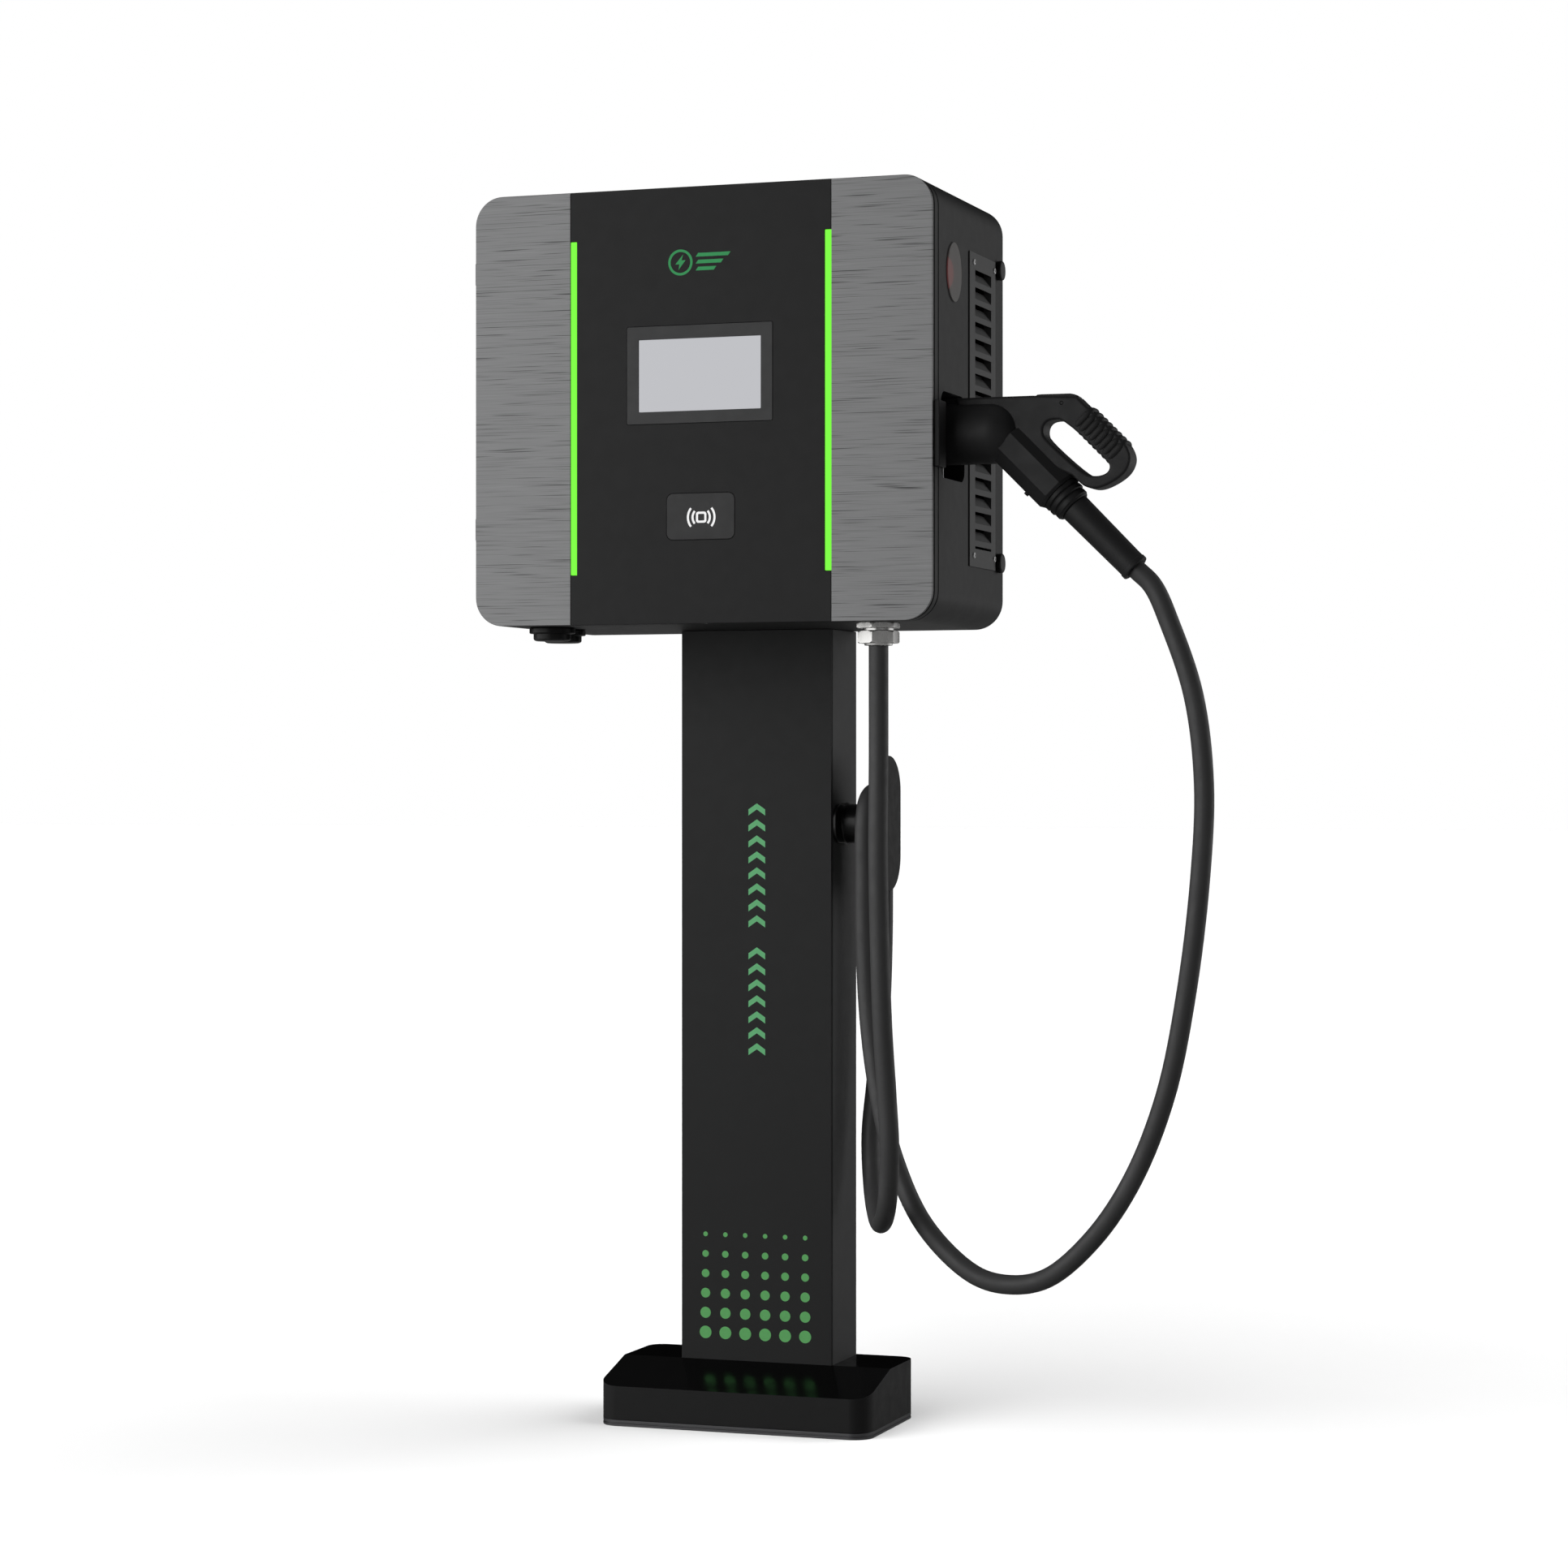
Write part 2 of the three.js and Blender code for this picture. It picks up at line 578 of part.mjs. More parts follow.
function breakerToggle() {
  const { y, z, r, lever, leverInset, leverThick } = TOGGLE;
  const inset = BREAKER.slotInset + 1;
  const barrel = slabX(oval(y, z, r, r), BREAKER.left + inset, BREAKER.right - inset, 4);
  const [x0, x1] = [BREAKER.left + leverInset, BREAKER.right - leverInset];
  return join(barrel, box(x0, x1, y - lever, y, z + 1, z + 1 + leverThick));
}

function contactor() {
  const { left, right, base, half, head } = CONTACTOR;
  const body = onRail(left, right, base, 0, -half, half);
  return join(body, onRail(left + 4, right - 4, head, base - 10, -21.5, 21.5));
}

function energyMeter() {
  const { left, right, front, half, window } = METER;
  const [x0, x1, low, high] = window;
  return cut(onRail(left, right, front, 0, -half, half), onRail(x0, x1, front + 1, front - 2, low, high));
}

function terminalBlock() {
  const { left, right, front, half, ways, pitch, width } = TERMINALS;
  const channels = Array.from({ length: ways }, (_, i) => {
    const x = left + 4 + i * pitch;
    return onRail(x, x + width, front + 6, front - 14, -27.5, 27.5);
  });
  return cut(onRail(left, right, front, 0, -half, half), ...channels);
}

// ---- door ----
const TRAY = { step: 2.5, stepDepth: 4, rim: 14, back: 3 };
const GASKET = { outer: 4, inner: 12 };
const LOCK = {
  x: 0, y: -190, r: 8, top: 1004, key: 1, keyDepth: 6, cam: [-24, 5, 3], camHalf: 4.5, camGap: 5,
};
function doorTray() {
  const { step, stepDepth, rim, back } = TRAY;
  const { x, y, r, top, camGap } = LOCK;
  const outer = slabY(cabinetOutline(0), FRAME_FRONT + stepDepth, DOOR_REAR);
  const front = slabY(cabinetOutline(step), FRAME_FRONT, FRAME_FRONT + stepDepth + 1);
  const hollow = slabY(cabinetOutline(rim), FRAME_FRONT - 1, DOOR_REAR - back);
  const bore = turnedZ(disc(r + 0.4, CAB.bottom - 10, top + 8), x, y, 16);
  const camSlot = box(-28, 10, DOOR_REAR - back - 1, DOOR_REAR + 1, top + 2 - camGap, top + 1 + camGap);
  return cut(join(outer, front), hollow, bore, camSlot);
}

function doorGasket() {
  return cut(
    slabY(cabinetOutline(GASKET.outer), DOOR_REAR + GAP, BODY_FRONT - GAP),
    slabY(cabinetOutline(GASKET.inner), DOOR_REAR - 1, BODY_FRONT + 1),
  );
}

function brushedPanel(side) {
  const [x0, x1] = along(side, CENTRE_HALF + GAP, CAB.half + 1);
  const half = box(x0, x1, CAB.front - 1, CAB.front + SKIN + 1, CAB.bottom - 1, CAB.top + 1);
  return slabY(cabinetOutline(0), CAB.front, CAB.front + SKIN).intersect(half);
}

const frontBox = (x0, x1, z0, z1, grow) => box(
  x0 - grow, x1 + grow, CAB.front - 1, CAB.front + SKIN + 1, z0 - grow, z1 + grow,
);

function centrePanel() {
  const plate = box(-CENTRE_HALF, CENTRE_HALF, CAB.front, CAB.front + SKIN, CAB.bottom, CAB.top);
  const ledGap = (side) => {
    const [x0, x1] = along(side, LED.inner - GAP, CENTRE_HALF + 1);
    return box(x0, x1, CAB.front - 1, CAB.front + SKIN + 1, LED.bottom - GAP, LED.top + GAP);
  };
  return cut(
    plate, ledGap(1), ledGap(-1),
    frontBox(-BEZEL.halfWidth, BEZEL.halfWidth, BEZEL.bottom, BEZEL.top, GAP),
    frontBox(PAD.x - PAD.halfWidth, PAD.x + PAD.halfWidth, PAD.bottom, PAD.top, GAP),
  );
}

function ledStrip(side) {
  const [x0, x1] = along(side, LED.inner, CENTRE_HALF);
  return box(x0, x1, CAB.front + LED.sunk, CAB.front + SKIN, LED.bottom, LED.top);
}

function displayBezel() {
  const { halfWidth, bottom, top, proud, depth, corner } = BEZEL;
  const inner = roundRect(-SCREEN.halfWidth, SCREEN.halfWidth, SCREEN.bottom, SCREEN.top, corner / 2);
  return cut(
    slabY(roundRect(-halfWidth, halfWidth, bottom, top, corner), CAB.front - proud, CAB.front + depth, 2),
    slabY(inner, CAB.front - 2, CAB.front + depth + 2, 1),
  );
}

function displayScreen() {
  const { halfWidth, bottom, top, sunk, depth } = SCREEN;
  return box(-halfWidth + GAP, halfWidth - GAP, CAB.front + sunk, CAB.front + depth, bottom + GAP, top - GAP);
}

function cardPad() {
  const { x, halfWidth, bottom, top, proud, depth, corner } = PAD;
  const outline = roundRect(x - halfWidth, x + halfWidth, bottom, top, corner);
  return slabY(outline, CAB.front - proud, CAB.front + depth, 2);
}

function doorLock() {
  const { x, y, r, top, key, keyDepth, cam, camHalf } = LOCK;
  const face = CAB.bottom + 0.4;
  const [camLeft, camRight, camThick] = cam;
  const barrel = turnedZ(disc(r, face, top), x, y, 24);
  const keyway = box(x - key, x + key, y - key * 4, y + key * 4, CAB.bottom - 1, CAB.bottom + keyDepth);
  const lever = box(camLeft, camRight, y - camHalf, y + camHalf, top - 1, top - 1 + camThick);
  return cut(join(barrel, lever), keyway);
}

const HINGE = {
  x: -294, y: -180.3, r: 3.4, heights: [1085, 1395], half: 26, leaf: 2.6, doorEdge: -198, bodyEdge: -158,
};
function hingeHalf(z, isDoor) {
  const { x, y, r, half, leaf, doorEdge, bodyEdge } = HINGE;
  const apart = 1.4;
  const [z0, z1] = isDoor ? [z + GAP / 2, z + half] : [z - half, z - GAP / 2];
  const [y0, y1] = isDoor ? [doorEdge, y - apart] : [y + apart, bodyEdge];
  return join(turnedZ(disc(r, z0, z1), x, y, 16), box(-CAB.half - leaf, -CAB.half - GAP, y0, y1, z0, z1));
}

// ---- connector ----
const HANDLE_OUTER = [
  [446, 1240.5], [465, 1221.9], [492.8, 1195.9], [506, 1181], [510.3, 1166.5],
  [504.5, 1152], [489, 1140], [469, 1133], [455, 1136], [440, 1149],
];
const FINGER_HOLE = [
  [404.5, 1202.5], [407.5, 1211], [415, 1215], [430.5, 1214.5], [483.5, 1163.5], [485.5, 1156],
  [480.5, 1149.5], [468, 1146.8], [454.5, 1150], [407, 1192.5],
];

const HANDLE = { above: 4, half: 17, round: 5 };
const SHELL = { bore: 31, boreDepth: 12, slant: 29.2, slantLength: 88, ridgeHalf: 12, ridgeEnd: 330 };
const SLOTS = { bottom: 1228, split: 392.4, latchHalf: 6.6, buttonHalf: 9.6, buttonEnd: 447.5, clear: 1260 };
const NUB = { r: 3, length: 5, x: 382, z: 1131 };
const PIN_R = 2.1;
// Each contact's bore: its place in Y and Z from the plug's axis, and its radius.
const CONTACTS = [[0, 14, 6], [-15, 4, 7.5], [15, 4, 7.5], [-9, -14, 4], [9, -14, 4], [0, -4, 3]];
const NOSE = { r: 30, depth: 34 };

function handleLoop() {
  const top = GUN.z + GUN.r + HANDLE.above;
  const [pinX] = BUTTON_PIVOT;
  const outline = polygon([
    [300, 1225], [300, top], [pinX - 35.6, top], ...smoothOutline(HANDLE_OUTER, 15), [405, 1165], [360, 1200],
  ]);
  const { half, round } = HANDLE;
  const geometry = new THREE.ExtrudeGeometry(outline, {
    depth: 2 * (half - round), bevelEnabled: true, bevelThickness: round, bevelSize: round - 1,
    bevelOffset: 1 - round, bevelSegments: 2,
  });
  geometry.rotateX(Math.PI / 2);
  geometry.translate(0, GUN.y + half - round, 0);
  return cut(solid(geometry), slabY(polygon(FINGER_HOLE), GUN.y - 30, GUN.y + 30));
}

function connectorShell() {
  const { y, z, r, dome, mouth } = GUN;
  const { bore, boreDepth, slant, slantLength, ridgeHalf, ridgeEnd } = SHELL;
  const { bottom, split, latchHalf, buttonHalf, buttonEnd, clear } = SLOTS;
  const domeArc = Array.from({ length: 6 }, (_, i) => {
    const angle = (i * Math.PI) / 12;
    return [r * Math.cos(angle), dome + r * Math.sin(angle)];
  });
  const barrel = turnedX([[r, mouth], ...domeArc], y, z, 28);
  const entry = turnedSlant(disc(slant, -slantLength, 0), 8, Math.PI / 8);
  const ridge = box(mouth + 6, ridgeEnd, y - ridgeHalf, y + ridgeHalf, z + 20, z + r + HANDLE.above);
  const latchSlot = box(mouth - 1, split + 0.1, y - latchHalf, y + latchHalf, bottom + 0.5, clear);
  const buttonSlot = box(split, buttonEnd, y - buttonHalf, y + buttonHalf, bottom, clear);
  const pinHole = turnedY(disc(PIN_R + GAP, y - 30, y + 30), BUTTON_PIVOT[0], BUTTON_PIVOT[1], 12);
  const socket = turnedX(disc(bore, mouth - 1, mouth + boreDepth), y, z, 32);
  const nub = turned(disc(NUB.r, 0, NUB.length), 10);
  nub.rotateX(Math.PI / 2);
  nub.rotateY(Math.PI / 4);
  nub.translate(NUB.x, y, NUB.z);
  return cut(join(barrel, handleLoop(), entry, ridge, solid(nub)), latchSlot, buttonSlot, pinHole, socket);
}

function connectorNose() {
  const { y, z, mouth, tip } = GUN;
  const { r, depth } = NOSE;
  const body = turnedX([[r - 0.5, tip], [r, tip + 1], [r, mouth + SHELL.boreDepth - 1]], y, z, 24);
  const holes = CONTACTS.map(([dy, dz, r]) => turnedX(disc(r, tip - 1, tip + depth), y + dy, z + dz, 10));
  return cut(body, ...holes);
}

function latchLever() {
  const half = SLOTS.latchHalf - 0.6;
  const { y } = GUN;
  const bar = box(262, 391.5, y - half, y + half, LATCH_PIVOT[1], 1243.2);
  const beak = polygon([[250, 1237], [256, 1234.2], [264, 1234.2], [264, 1243], [256, 1243.2]]);
  return join(bar, slabY(beak, y - half, y + half));
}

function thumbButton() {
  const { y } = GUN;
  const half = SLOTS.buttonHalf - 0.6;
  const shape = polygon([
    [393.6, 1235.5], [446, 1235.5], [446, 1241.5], [437, 1245.3], [399, 1245.6], [393.6, 1244],
  ]);
  const reach = HANDLE.half - 0.4;
  const pin = turnedY(disc(PIN_R, y - reach, y + reach), BUTTON_PIVOT[0], BUTTON_PIVOT[1], 12);
  return join(slabY(shape, y - half, y + half), pin);
}

function connectorCollar() {
  const profile = [
    [24.5, GAP], [24.5, 6], [22.5, 7], [24, 9], [24, 14], [21.5, 15], [22.5, 17], [22.5, COLLAR_LENGTH - 2],
    [21, COLLAR_LENGTH],
  ];
  return turnedSlant(profile, 20);
}

function cableBoot() {
  const start = COLLAR_LENGTH + GAP;
  const end = COLLAR_LENGTH + BOOT_LENGTH;
  return turnedSlant([[18.2, start], [16.8, end - 1], [16, end]], 24);
}

// ---- charging cable ----
const CABLE_ROUTE = [
  [206, -148, 952.7], [206, -148, 900], [206, -148, 820], [205, -147, 708], [206, -144, 600],
  [208, -139, 500], [211, -131, 415], [212, -124, 352], [200, -98, 283], [171.5, -36, 255],
  [143, 26, 283], [131, 52, 352], [133, 66, 420], [136.5, 77, 510], [138, 82.2, 610],
  [138, 82.2, 700], [138, 82.2, 740], [138, 71.2, 767],
  [138, 44.2, 778.2], [138, 17.2, 767], [138, 6.2, 740], [138, 5.5, 680], [139, 3.5, 606], [147, -4, 500],
  [161, -13, 418], [186, -26, 334], [230, -41, 255], [297, -58, 201], [345, -68, 192], [393, -77, 203],
  [452, -89, 253], [503, -100, 326], [544, -108.5, 425], [570, -115, 542], [588, -119, 680],
  [593, -121.5, 790], [581, -123, 892], [553, -123, 975],
];
const SLANT = Math.SQRT1_2;
const BOOT_END = COLLAR_LENGTH + BOOT_LENGTH + GAP;
const CABLE_TAIL = [BOOT_END + 28, BOOT_END].map((along45) => [
  GUN_END[0] + along45 * SLANT, GUN.y, GUN_END[1] - along45 * SLANT,
]);

function chargingCable() {
  const points = [...CABLE_ROUTE, ...CABLE_TAIL].map((p) => new THREE.Vector3(...p));
  const path = new THREE.CatmullRomCurve3(points, false, 'centripetal');
  // Two steps between each pair of route points, so the tight bend over the hook gets the most.
  path.getUtoTmapping = (u) => u;
  const steps = 2 * (points.length - 1);
  const section = new THREE.Shape();
  section.absarc(0, 0, CABLE_R, 0, 2 * Math.PI);
  return solid(new THREE.ExtrudeGeometry(section, { extrudePath: path, steps, curveSegments: 5 }));
}

// ---- put it together ----
add('base_plate', 'zinc', basePlate());
add('base_cover', 'gloss', baseCover());
ANCHORS.forEach((place, i) => add(`anchor_bolt_${i + 1}`, 'zinc', anchorBolt(place)));
add('column_body', 'steelGrey', columnBody());
add('column_front_cover', 'black', columnCover());
add('cable_hook', 'gloss', cableHook());

add('housing_shell', 'steelGrey', housingShell());
add('vent_grille_right', 'steelGrey', ventGrille(1));
add('vent_grille_left', 'steelGrey', ventGrille(-1));
add('fan_frame_right', 'plastic', fanFrame(1));
add('fan_frame_left', 'plastic', fanFrame(-1));
add('fan_rotor_right', 'plastic', fanRotor(1));
add('fan_rotor_left', 'plastic', fanRotor(-1));
KNOB.heights.forEach((z, i) => add(`side_knob_${i + 1}`, 'plastic', sideKnob(z)));

add('holster_box', 'black', holsterBox());
add('holster_socket', 'plastic', holsterSocket());
add('holster_plate', 'steelGrey', holsterPlate());
add('holster_bracket', 'nickel', holsterBracket());
add('stop_cup', 'plastic', stopCup());
add('stop_button', 'red', stopButton());
add('stop_flap', 'clear', stopFlap());
add('output_gland_body', 'nickel', outGlandBody());
add('output_gland_cap', 'nickel', outGlandCap());
IN_GLANDS.forEach((place, i) => add(`input_gland_${i + 1}`, 'plastic', inGland(place)));

add('mounting_plate', 'zinc', mountingPlate());
add('power_module', 'lightGrey', powerModule());
add('control_board', 'board', controlBoard());
add('din_rail', 'zinc', dinRail());
add('breaker_body', 'lightGrey', breakerBody());
add('breaker_toggle', 'plastic', breakerToggle());
add('contactor', 'plastic', contactor());
add('energy_meter', 'lightGrey', energyMeter());
add('terminal_block', 'lightGrey', terminalBlock());

add('door_tray', 'steelGrey', doorTray());
add('door_gasket', 'rubber', doorGasket());
add('front_panel_left', 'brushed', brushedPanel(-1));
add('front_panel_right', 'brushed', brushedPanel(1));
add('front_panel_centre', 'black', centrePanel());
add('led_strip_left', 'led', ledStrip(-1));
add('led_strip_right', 'led', ledStrip(1));
add('display_bezel', 'gloss', displayBezel());
add('display_screen', 'screen', displayScreen());
add('card_reader_pad', 'plastic', cardPad());
add('door_lock', 'nickel', doorLock());
HINGE.heights.forEach((z, i) => add(`hinge_body_half_${i + 1}`, 'steelGrey', hingeHalf(z, false)));
HINGE.heights.forEach((z, i) => add(`hinge_door_half_${i + 1}`, 'steelGrey', hingeHalf(z, true)));

add('connector_shell', 'plastic', connectorShell());
add('connector_nose', 'plastic', connectorNose());
add('latch_lever', 'plastic', latchLever());
add('thumb_button', 'plastic', thumbButton());
add('connector_collar', 'rubber', connectorCollar());
add('cable_boot', 'rubber', cableBoot());
add('charging_cable', 'rubber', chargingCable());

export default post;
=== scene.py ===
"""The looks of an EV charging post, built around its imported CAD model.

Every length is in metres, in the CAD frame: +X is the post's right, -Y its front, +Z up. Pieces that need
fine curves or edges are built here and stand for their CAD nodes; the rest are the CAD solids with their
edges rounded. The order is: camera, helpers, materials, cable, cabinet, plain CAD solids, door, foot and
column with their prints, connector, and last the floor and lights.
"""

import json
import math

import bmesh
import bpy
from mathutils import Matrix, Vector
from mathutils.geometry import tessellate_polygon


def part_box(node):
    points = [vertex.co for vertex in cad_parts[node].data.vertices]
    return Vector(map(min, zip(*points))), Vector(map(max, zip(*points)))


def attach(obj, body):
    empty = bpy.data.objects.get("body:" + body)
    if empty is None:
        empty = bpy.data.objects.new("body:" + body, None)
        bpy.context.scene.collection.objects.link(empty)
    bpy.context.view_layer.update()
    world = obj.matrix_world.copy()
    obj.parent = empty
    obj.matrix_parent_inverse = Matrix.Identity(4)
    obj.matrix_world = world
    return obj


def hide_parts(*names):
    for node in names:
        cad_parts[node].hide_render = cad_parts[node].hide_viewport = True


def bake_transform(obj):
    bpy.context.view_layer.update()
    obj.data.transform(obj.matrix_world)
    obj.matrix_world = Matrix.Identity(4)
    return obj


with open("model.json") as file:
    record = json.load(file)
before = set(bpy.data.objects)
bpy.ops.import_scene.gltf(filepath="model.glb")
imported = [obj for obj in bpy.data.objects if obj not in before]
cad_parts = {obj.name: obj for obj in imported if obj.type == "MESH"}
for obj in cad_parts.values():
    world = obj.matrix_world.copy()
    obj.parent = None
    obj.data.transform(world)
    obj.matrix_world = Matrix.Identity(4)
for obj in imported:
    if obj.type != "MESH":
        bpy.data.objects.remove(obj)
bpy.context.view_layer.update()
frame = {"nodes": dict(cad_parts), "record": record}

MM = 0.001
GAP = 0.3 * MM
SKIN = 4 * MM  # the door's front panels
SHEET = 3 * MM  # folded sheet steel
RIGHT, BACK, UP = (1, 0, 0), (0, 1, 0), (0, 0, 1)

# ---- places taken from the frame ----
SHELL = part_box("housing_shell")
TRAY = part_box("door_tray")
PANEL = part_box("front_panel_centre")
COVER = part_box("column_front_cover")
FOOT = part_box("base_plate")
CABINET_R = 35 * MM
FRONT = PANEL[0].y
COLUMN_FRONT = COVER[0].y
SIDE = SHELL[1].x

# ---- camera ----
CAMERA_PLACE = (1.5849, -4.4031, 0.789)
CAMERA_YAW = math.radians(19.39)
CAMERA_LENS = 86.68


def make_camera():
    data = bpy.data.cameras.new("camera")
    data.lens = CAMERA_LENS
    data.sensor_width = 36
    data.clip_end = 500
    camera = bpy.data.objects.new("camera", data)
    camera.location = CAMERA_PLACE
    camera.rotation_euler = (math.pi / 2, 0, CAMERA_YAW)
    bpy.context.scene.collection.objects.link(camera)
    bpy.context.scene.camera = camera


make_camera()


# ---- mesh helpers ----
def axis_map(axis, u, v, w):
    """A point drawn in the plane across an axis, at w along it. X and Z cross Y, Y and Z cross X."""
    return {"X": (w, u, v), "Y": (u, w, v), "Z": (u, v, w)}[axis]


def mm(points):
    """Points given in millimetres, in metres."""
    return [tuple(value * MM for value in point) for point in points]


def added(name, mesh):
    """A new object in the scene that shows a mesh."""
    obj = bpy.data.objects.new(name, mesh)
    bpy.context.scene.collection.objects.link(obj)
    return obj


def piece(name, verts, faces):
    mesh = bpy.data.meshes.new(name)
    mesh.from_pydata([tuple(v) for v in verts], [], faces)
    work = bmesh.new()
    work.from_mesh(mesh)
    bmesh.ops.remove_doubles(work, verts=work.verts, dist=1e-6)
    bmesh.ops.recalc_face_normals(work, faces=work.faces)
    work.to_mesh(mesh)
    work.free()
    return added(name, mesh)


def shade(obj, angle=32):
    """Smooth shading with edges sharper than the angle kept crisp."""
    mesh = obj.data
    mesh.polygons.foreach_set("use_smooth", [True] * len(mesh.polygons))
    mesh.set_sharp_from_angle(angle=math.radians(angle))
    return obj


def settle(obj):
    """Applies a piece's modifiers."""
    graph = bpy.context.evaluated_depsgraph_get()
    mesh = bpy.data.meshes.new_from_object(obj.evaluated_get(graph))
    old = obj.data
    obj.modifiers.clear()
    obj.data = mesh
    bpy.data.meshes.remove(old)
    return obj


def weigh(obj):
    """Lets large flat faces keep their own normals beside small rounded edges."""
    step = obj.modifiers.new("normals", "WEIGHTED_NORMAL")
    step.mode = "FACE_AREA"
    step.weight = 80
    step.keep_sharp = True
    return settle(obj)


def bevel(obj, width, segments, angle=35):
    cutter = obj.modifiers.new("edges", "BEVEL")
    cutter.width = width
    cutter.segments = segments
    cutter.limit_method = "ANGLE"
    cutter.angle_limit = math.radians(angle)
    cutter.harden_normals = False
    cutter.use_clamp_overlap = True
    return shade(settle(obj))


def combine(obj, operation, others):
    """Cuts, joins or intersects a piece with others, and removes those."""
    for other in others:
        step = obj.modifiers.new("combine", "BOOLEAN")
        step.operation = operation
        step.solver = "EXACT"
        step.object = other
        settle(obj)
        bpy.data.objects.remove(other)
    return shade(obj)


def carve(obj, *cutters):
    return combine(obj, "DIFFERENCE", cutters)


def unite(obj, *others):
    return combine(obj, "UNION", others)


def merge(name, *parts):
    """One piece from several closed bodies."""
    work = bmesh.new()
    for part in parts:
        work.from_mesh(part.data)
    mesh = bpy.data.meshes.new(name)
    work.to_mesh(mesh)
    work.free()
    for part in parts:
        bpy.data.objects.remove(part)
    return added(name, mesh)


def refined(node, width, segments):
    """A CAD node's solid as one clean mesh with rounded edges."""
    work = bmesh.new()
    work.from_mesh(frame["nodes"][node].data)
    bmesh.ops.remove_doubles(work, verts=work.verts, dist=2e-6)
    bmesh.ops.dissolve_limit(work, angle_limit=math.radians(1), verts=work.verts, edges=work.edges)
    mesh = bpy.data.meshes.new(node + "_piece")
    work.to_mesh(mesh)
    work.free()
    return bevel(added(mesh.name, mesh), width, segments)


# ---- outlines: lists of (u, v) points, counter-clockwise ----
def arc(cu, cv, r, start, end, count):
    angles = [math.radians(start + (end - start) * i / count) for i in range(count + 1)]
    return [(cu + r * math.cos(a), cv + r * math.sin(a)) for a in angles]


def round_rect(u0, u1, v0, v1, r, far_r=None, count=10):
    far_r = r if far_r is None else far_r
    return (
        arc(u1 - r, v0 + r, r, -90, 0, count)
        + arc(u1 - far_r, v1 - far_r, far_r, 0, 90, count)
        + arc(u0 + far_r, v1 - far_r, far_r, 90, 180, count)
        + arc(u0 + r, v0 + r, r, 180, 270, count)
    )


def oval(cu, cv, ru, rv, count=64):
    angles = [2 * math.pi * i / count for i in range(count)]
    return [(cu + ru * math.cos(a), cv + rv * math.sin(a)) for a in angles]


def inset(outline, distance):
    """The outline moved inwards by a distance, corner by corner."""
    moved = []
    count = len(outline)
    for i in range(count):
        before, here, after = (Vector(outline[(i + k) % count]) for k in (-1, 0, 1))
        first, second = here - before, after - here
        if first.length < 1e-9 or second.length < 1e-9:
            first = second = first if first.length > second.length else second
        n1 = Vector((-first.y, first.x)).normalized()
        n2 = Vector((-second.y, second.x)).normalized()
        middle = n1 + n2
        middle = n1 if middle.length < 1e-6 else middle.normalized()
        moved.append(tuple(here + middle * distance / max(0.35, middle.dot(n1))))
    return moved


def spline(points, per=8):
    """A smooth line through the points, in any number of dimensions (centripetal Catmull-Rom)."""
    points = [Vector(p) for p in points]
    padded = [2 * points[0] - points[1], *points, 2 * points[-1] - points[-2]]
    line = []
    for i in range(len(points) - 1):
        p0, p1, p2, p3 = padded[i : i + 4]
        d0, d1, d2 = (math.sqrt((b - a).length) for a, b in ((p0, p1), (p1, p2), (p2, p3)))
        t1 = ((p1 - p0) / d0 - (p2 - p0) / (d0 + d1) + (p2 - p1) / d1) * d1
        t2 = ((p2 - p1) / d1 - (p3 - p1) / (d1 + d2) + (p3 - p2) / d2) * d1
        c2 = -3 * p1 + 3 * p2 - 2 * t1 - t2
        c3 = 2 * p1 - 2 * p2 + t1 + t2
        line += [p1 + t1 * t + c2 * t * t + c3 * t * t * t for t in (k / per for k in range(per))]
    return line + [points[-1]]


def chaikin(outline, times):
    """A polygon with its corners rounded off."""
    for _ in range(times):
        pairs = [(Vector(here), Vector(after)) for here, after in zip(outline, outline[1:] + outline[:1])]
        outline = [tuple(a.lerp(b, share)) for a, b in pairs for share in (0.25, 0.75)]
    return outline


# ---- solids ----
def band(a, b, count):
    """The faces between two rings of points that start at a and at b."""
    return [(a + i, a + (i + 1) % count, b + (i + 1) % count, b + i) for i in range(count)]


def skin(rings, count, closed=False):
    """The faces between rings of points, and at both ends unless the last ring joins the first."""
    faces = []
    for ring in range(rings if closed else rings - 1):
        faces += band(ring * count, (ring + 1) % rings * count, count)
    if not closed:
        faces += [tuple(range(count)), tuple(range((rings - 1) * count, rings * count))]
    return faces


def loft(name, loops, axis, closed=False):
    """A skin over loops of equal point counts. Each loop is (outline, place along the axis)."""
    verts = [axis_map(axis, u, v, w) for outline, w in loops for u, v in outline]
    return piece(name, verts, skin(len(loops), len(loops[0][0]), closed))


def round_steps(r, steps=4):
    """(inset, depth) pairs down a quarter-round edge."""
    angles = [math.pi / 2 * i / steps for i in range(steps + 1)]
    return [(r * (1 - math.sin(a)), r * (1 - math.cos(a))) for a in angles]


